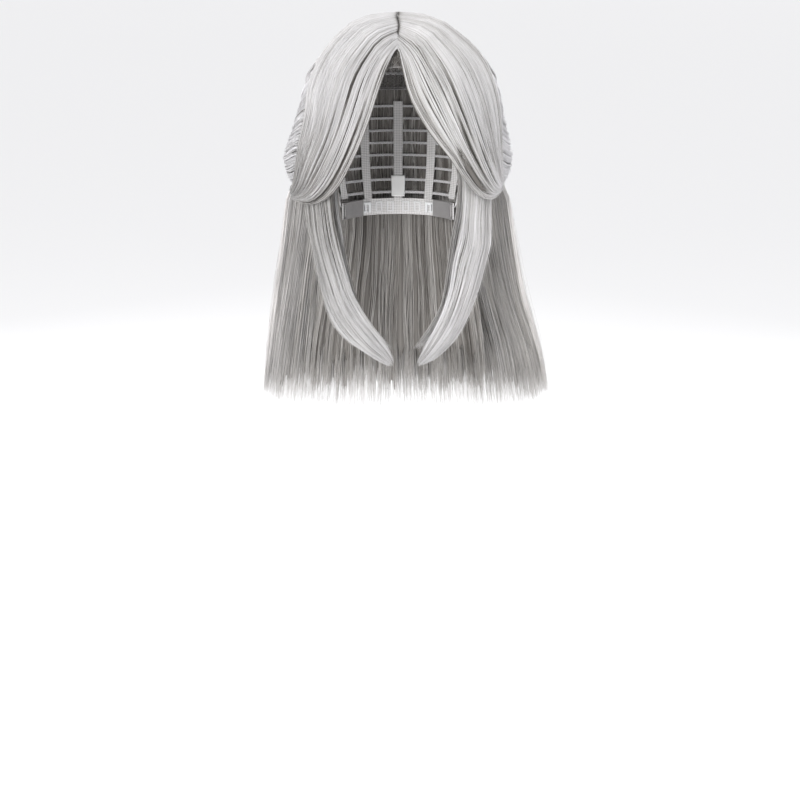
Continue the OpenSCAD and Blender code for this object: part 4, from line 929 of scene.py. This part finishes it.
def net_threads():
    parts = []
    m = 56
    for fam in (1, -1):
        k = 84
        v = np.linspace(0, 1, m)[None]
        a0 = (np.arange(k) / k * 360)[:, None]
        az = a0 + fam * 150 * v ** 1.0
        s = net_edge(az) + (0.985 - net_edge(az)) * v
        P = on_head(az, s, 0.35 + 0.15 * fam)
        parts.append(tubes(P, unit(P), np.full((k, m), 0.5), sides=4, flat=0.9, rnd=np.full(k, 0.5), uvbox=(0, 0 if fam > 0 else 0.4, 1, 0.4 if fam > 0 else 0.8)))
    az = np.linspace(0, 360, 200)[None]
    for i, (ds, w) in enumerate(((0.0, 1.6), (0.012, 1.0))):
        P = on_head(az, net_edge(az) + ds, 0.4)
        parts.append(tubes(P, unit(P), np.full((1, 200), w), sides=6, flat=0.5, rnd=np.array([0.5]), uvbox=(0, 0.82 + 0.08 * i, 1, 0.89 + 0.08 * i)))
    # small button at the crown where the threads meet
    r = np.array([0, 2.2, 3.4, 4.0])[:, None]
    t = np.linspace(0, 2 * math.pi, 24, endpoint=False)[None]
    A = np.stack([r * np.cos(t), r * np.sin(t), 100.2 + 0.8 * (1 - (r / 4.0) ** 2) + 0 * t], -1)
    B = A.copy()
    B[..., 2] -= 0.8
    A[0, :, :2] = 0.05 * np.stack([np.cos(t[0]), np.sin(t[0])], -1)
    B[0, :, :2] = A[0, :, :2]
    parts.append(slab(A, B, uvbox=(0.9, 0.98, 1, 1), close_u=True))
    return parts


net = make("crown_net_threads", net_threads(), [M_LACE], body="cap", replaces=("crown_net",))


# parting patch
def top(x, y, d):
    hy = np.where(y < 0, HF, HB) + d
    return np.stack([x, y, (HZ + d) * np.sqrt(1 - (x / (HX + d)) ** 2 - (y / hy) ** 2)], -1)


yy, xx = np.meshgrid(np.linspace(-58, 40, 80), np.linspace(-13, 13, 24), indexing="ij")
fold = 0.25 * np.exp(-((np.abs(xx) - 11.6) / 0.9) ** 2)
# The patch's dark cloth colour is partly painted shade for the parting line.
patch = make("parting_patch_cloth", [slab(top(xx, yy, CT + 0.9 + fold * 0.6), top(xx, yy, CT + 0.3))], [M_SKIN], body="cap", replaces=("part_patch",))


# upright tapes
def tape_piece(name, az0, z1, z0, node):
    z, j = np.meshgrid(np.linspace(z0, z1, 110), np.linspace(-1, 1, 15), indexing="ij")
    az = az0 + j * 5 / 1.45
    rib = 0.06 * np.cos(2 * math.pi * j * 4) + 0.03 * np.sin(2 * math.pi * np.linspace(0, 1, 110)[:, None] * 36)
    A = on_head(az, s_at(z), CT + rib)
    B = on_head(az, s_at(z), 0.0 - rib)
    tape = make(name, [slab(A, B)], [M_ELASTIC], body="cap", replaces=(node,))


tape_piece("back_tape_centre_cloth", 180, 19, -75.6, "back_tape_centre")
tape_piece("back_tape_left_cloth", 154, 19, -75.6, "back_tape_left")
tape_piece("back_tape_right_cloth", 206, 19, -75.6, "back_tape_right")
tape_piece("side_tape_left_cloth", 130, 20, -73, "side_tape_left")
tape_piece("side_tape_right_cloth", 230, 20, -73, "side_tape_right")


# weft rows: a folded track with a zigzag of thread
def weft_parts(z, a0, a1, h, k, box):
    t = np.linspace(0, 1, 120)
    az = a0 + (a1 - a0) * t
    v, j = np.meshgrid(t, np.linspace(-1, 1, 7), indexing="ij")
    A = on_head(a0 + (a1 - a0) * v, s_at(z + j * h / 2), CT + 0.25 + 1.0 * np.sqrt(1 - 0.85 * j ** 2))
    B = on_head(a0 + (a1 - a0) * v, s_at(z + j * h / 2), CT + 0.25)
    x0, y0, x1, y1 = box
    ym = (y0 + y1) / 2
    P = on_head(a0 + (a1 - a0) * np.linspace(0, 1, 8 * k + 1), s_at(z + h * 0.42 * np.sin(np.linspace(0, 1, 8 * k + 1) * k * 2 * math.pi)), CT + 1.35)[None]
    xm = (x0 + x1) / 2
    Q = on_head(a0 + (a1 - a0) * np.linspace(0, 1, 8 * k + 1), s_at(z + h * 0.42 * np.sin(np.linspace(0, 1, 8 * k + 1) * k * 2 * math.pi + 1.6)), CT)[None]
    return [slab(A, B, mat=0, uvbox=(x0, y0, x1, ym)), tubes(P, unit(P), np.full(P.shape[:2], 0.34), sides=4, flat=0.9, mat=1, rnd=np.array([0.5]), uvbox=(x0, ym, xm, y1)),
            tubes(Q, unit(Q), np.full(Q.shape[:2], 0.4), sides=4, flat=0.9, mat=1, rnd=np.array([0.5]), uvbox=(xm, ym, x1, y1))]


parts = []
for k in range(8):
    z, a = 14 - 12 * k, 128 - 1.5 * (8 - k)
    parts += weft_parts(z, a, 360 - a, 2.4, 44, (0, k / 8, 1, (k + 0.95) / 8))
make("back_weft_rows_sewn", parts, [M_WEFT, M_THREAD], body="cap", replaces=("back_weft_rows",))
parts = []
for k, z in enumerate((46, 62, 76, 88)):
    parts += weft_parts(z, 75, 285, 1.6 if z > 80 else 2.4, 60, (0, k / 4, 1, (k + 0.95) / 4))
make("crown_weft_rows_sewn", parts, [M_WEFT, M_THREAD], body="cap", replaces=("crown_weft_rows",))

# blank label
z, j = np.meshgrid(np.linspace(-74, -54, 24), np.linspace(-1, 1, 16), indexing="ij")
curl = 0.35 * smooth((z + 62) / 8) * 1.0
A = on_head(180 + j * 5.5, s_at(z), -0.1 - curl)
B = on_head(180 + j * 5.5, s_at(z), -0.6 - curl)
lab = make("blank_label_cloth", [slab(A, B)], [M_LABEL], body="cap", replaces=("care_label",))

# hair tie: three turns of covered elastic
t = np.linspace(0, 1, 200)
P = []
rot = np.array(Matrix.Rotation(math.radians(18), 3, "X"))
a = t * 2 * math.pi * 3
P = np.stack([(7.2 + 0.5 * np.sin(a * 1.3)) * np.cos(a), (7.2 + 0.5 * np.sin(a * 1.3)) * np.sin(a), (t - 0.5) * 3.6 + 0.5 * np.sin(a)], -1) @ rot.T + np.array([0, 121, -18.5])
ax = rot @ np.array([0, 0, 1.0])
c = np.array([0, 121, -18.5])
Nn = unit(P - c)
make("hair_tie_elastic", [tubes(P[None], Nn[None], np.full((1, 200), 2.5), sides=10, flat=0.9, rnd=np.array([0.5]))], [M_TIE], body="cap", replaces=("hair_tie",))

# CAD nodes that keep their shape
KEEP = {"nape_band": M_ELASTIC, "strap_tunnel_left": M_LACE, "strap_tunnel_right": M_LACE, "adjuster_loops_left": M_THREAD, "adjuster_loops_right": M_THREAD,
        "adjuster_strap_left": M_ELASTIC, "adjuster_strap_right": M_ELASTIC, "adjuster_hook_left": M_PLASTIC, "adjuster_hook_right": M_PLASTIC,
        "ear_tab_stay_left": M_PLASTIC, "ear_tab_stay_right": M_PLASTIC}
for k, m in KEEP.items():
    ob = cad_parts[k]
    if not ob.material_slots:
        ob.data.materials.append(m)
    for s in ob.material_slots:
        s.material = m

# ------------------------------------------------------------------ floor
fm, nt, p = new_mat("floor_pale")
nz = nt.nodes.new("ShaderNodeTexNoise")
nz.inputs["Scale"].default_value = 3
r = ramp(nt, [(0.3, (0.90, 0.90, 0.90)), (0.7, (0.92, 0.92, 0.92))])
nt.links.new(nz.outputs["Fac"], r.inputs["Fac"])
nt.links.new(r.outputs["Color"], p.inputs["Base Color"])
p.inputs["Roughness"].default_value = 0.9
me = bpy.data.meshes.new("floor")
S = 60
me.from_pydata([(-S, -S, -0.607), (S, -S, -0.607), (S, S, -0.607), (-S, S, -0.607)], [], [(0, 1, 2, 3)])
me.materials.append(fm)
floor = bpy.data.objects.new("floor", me)
scene.collection.objects.link(floor)
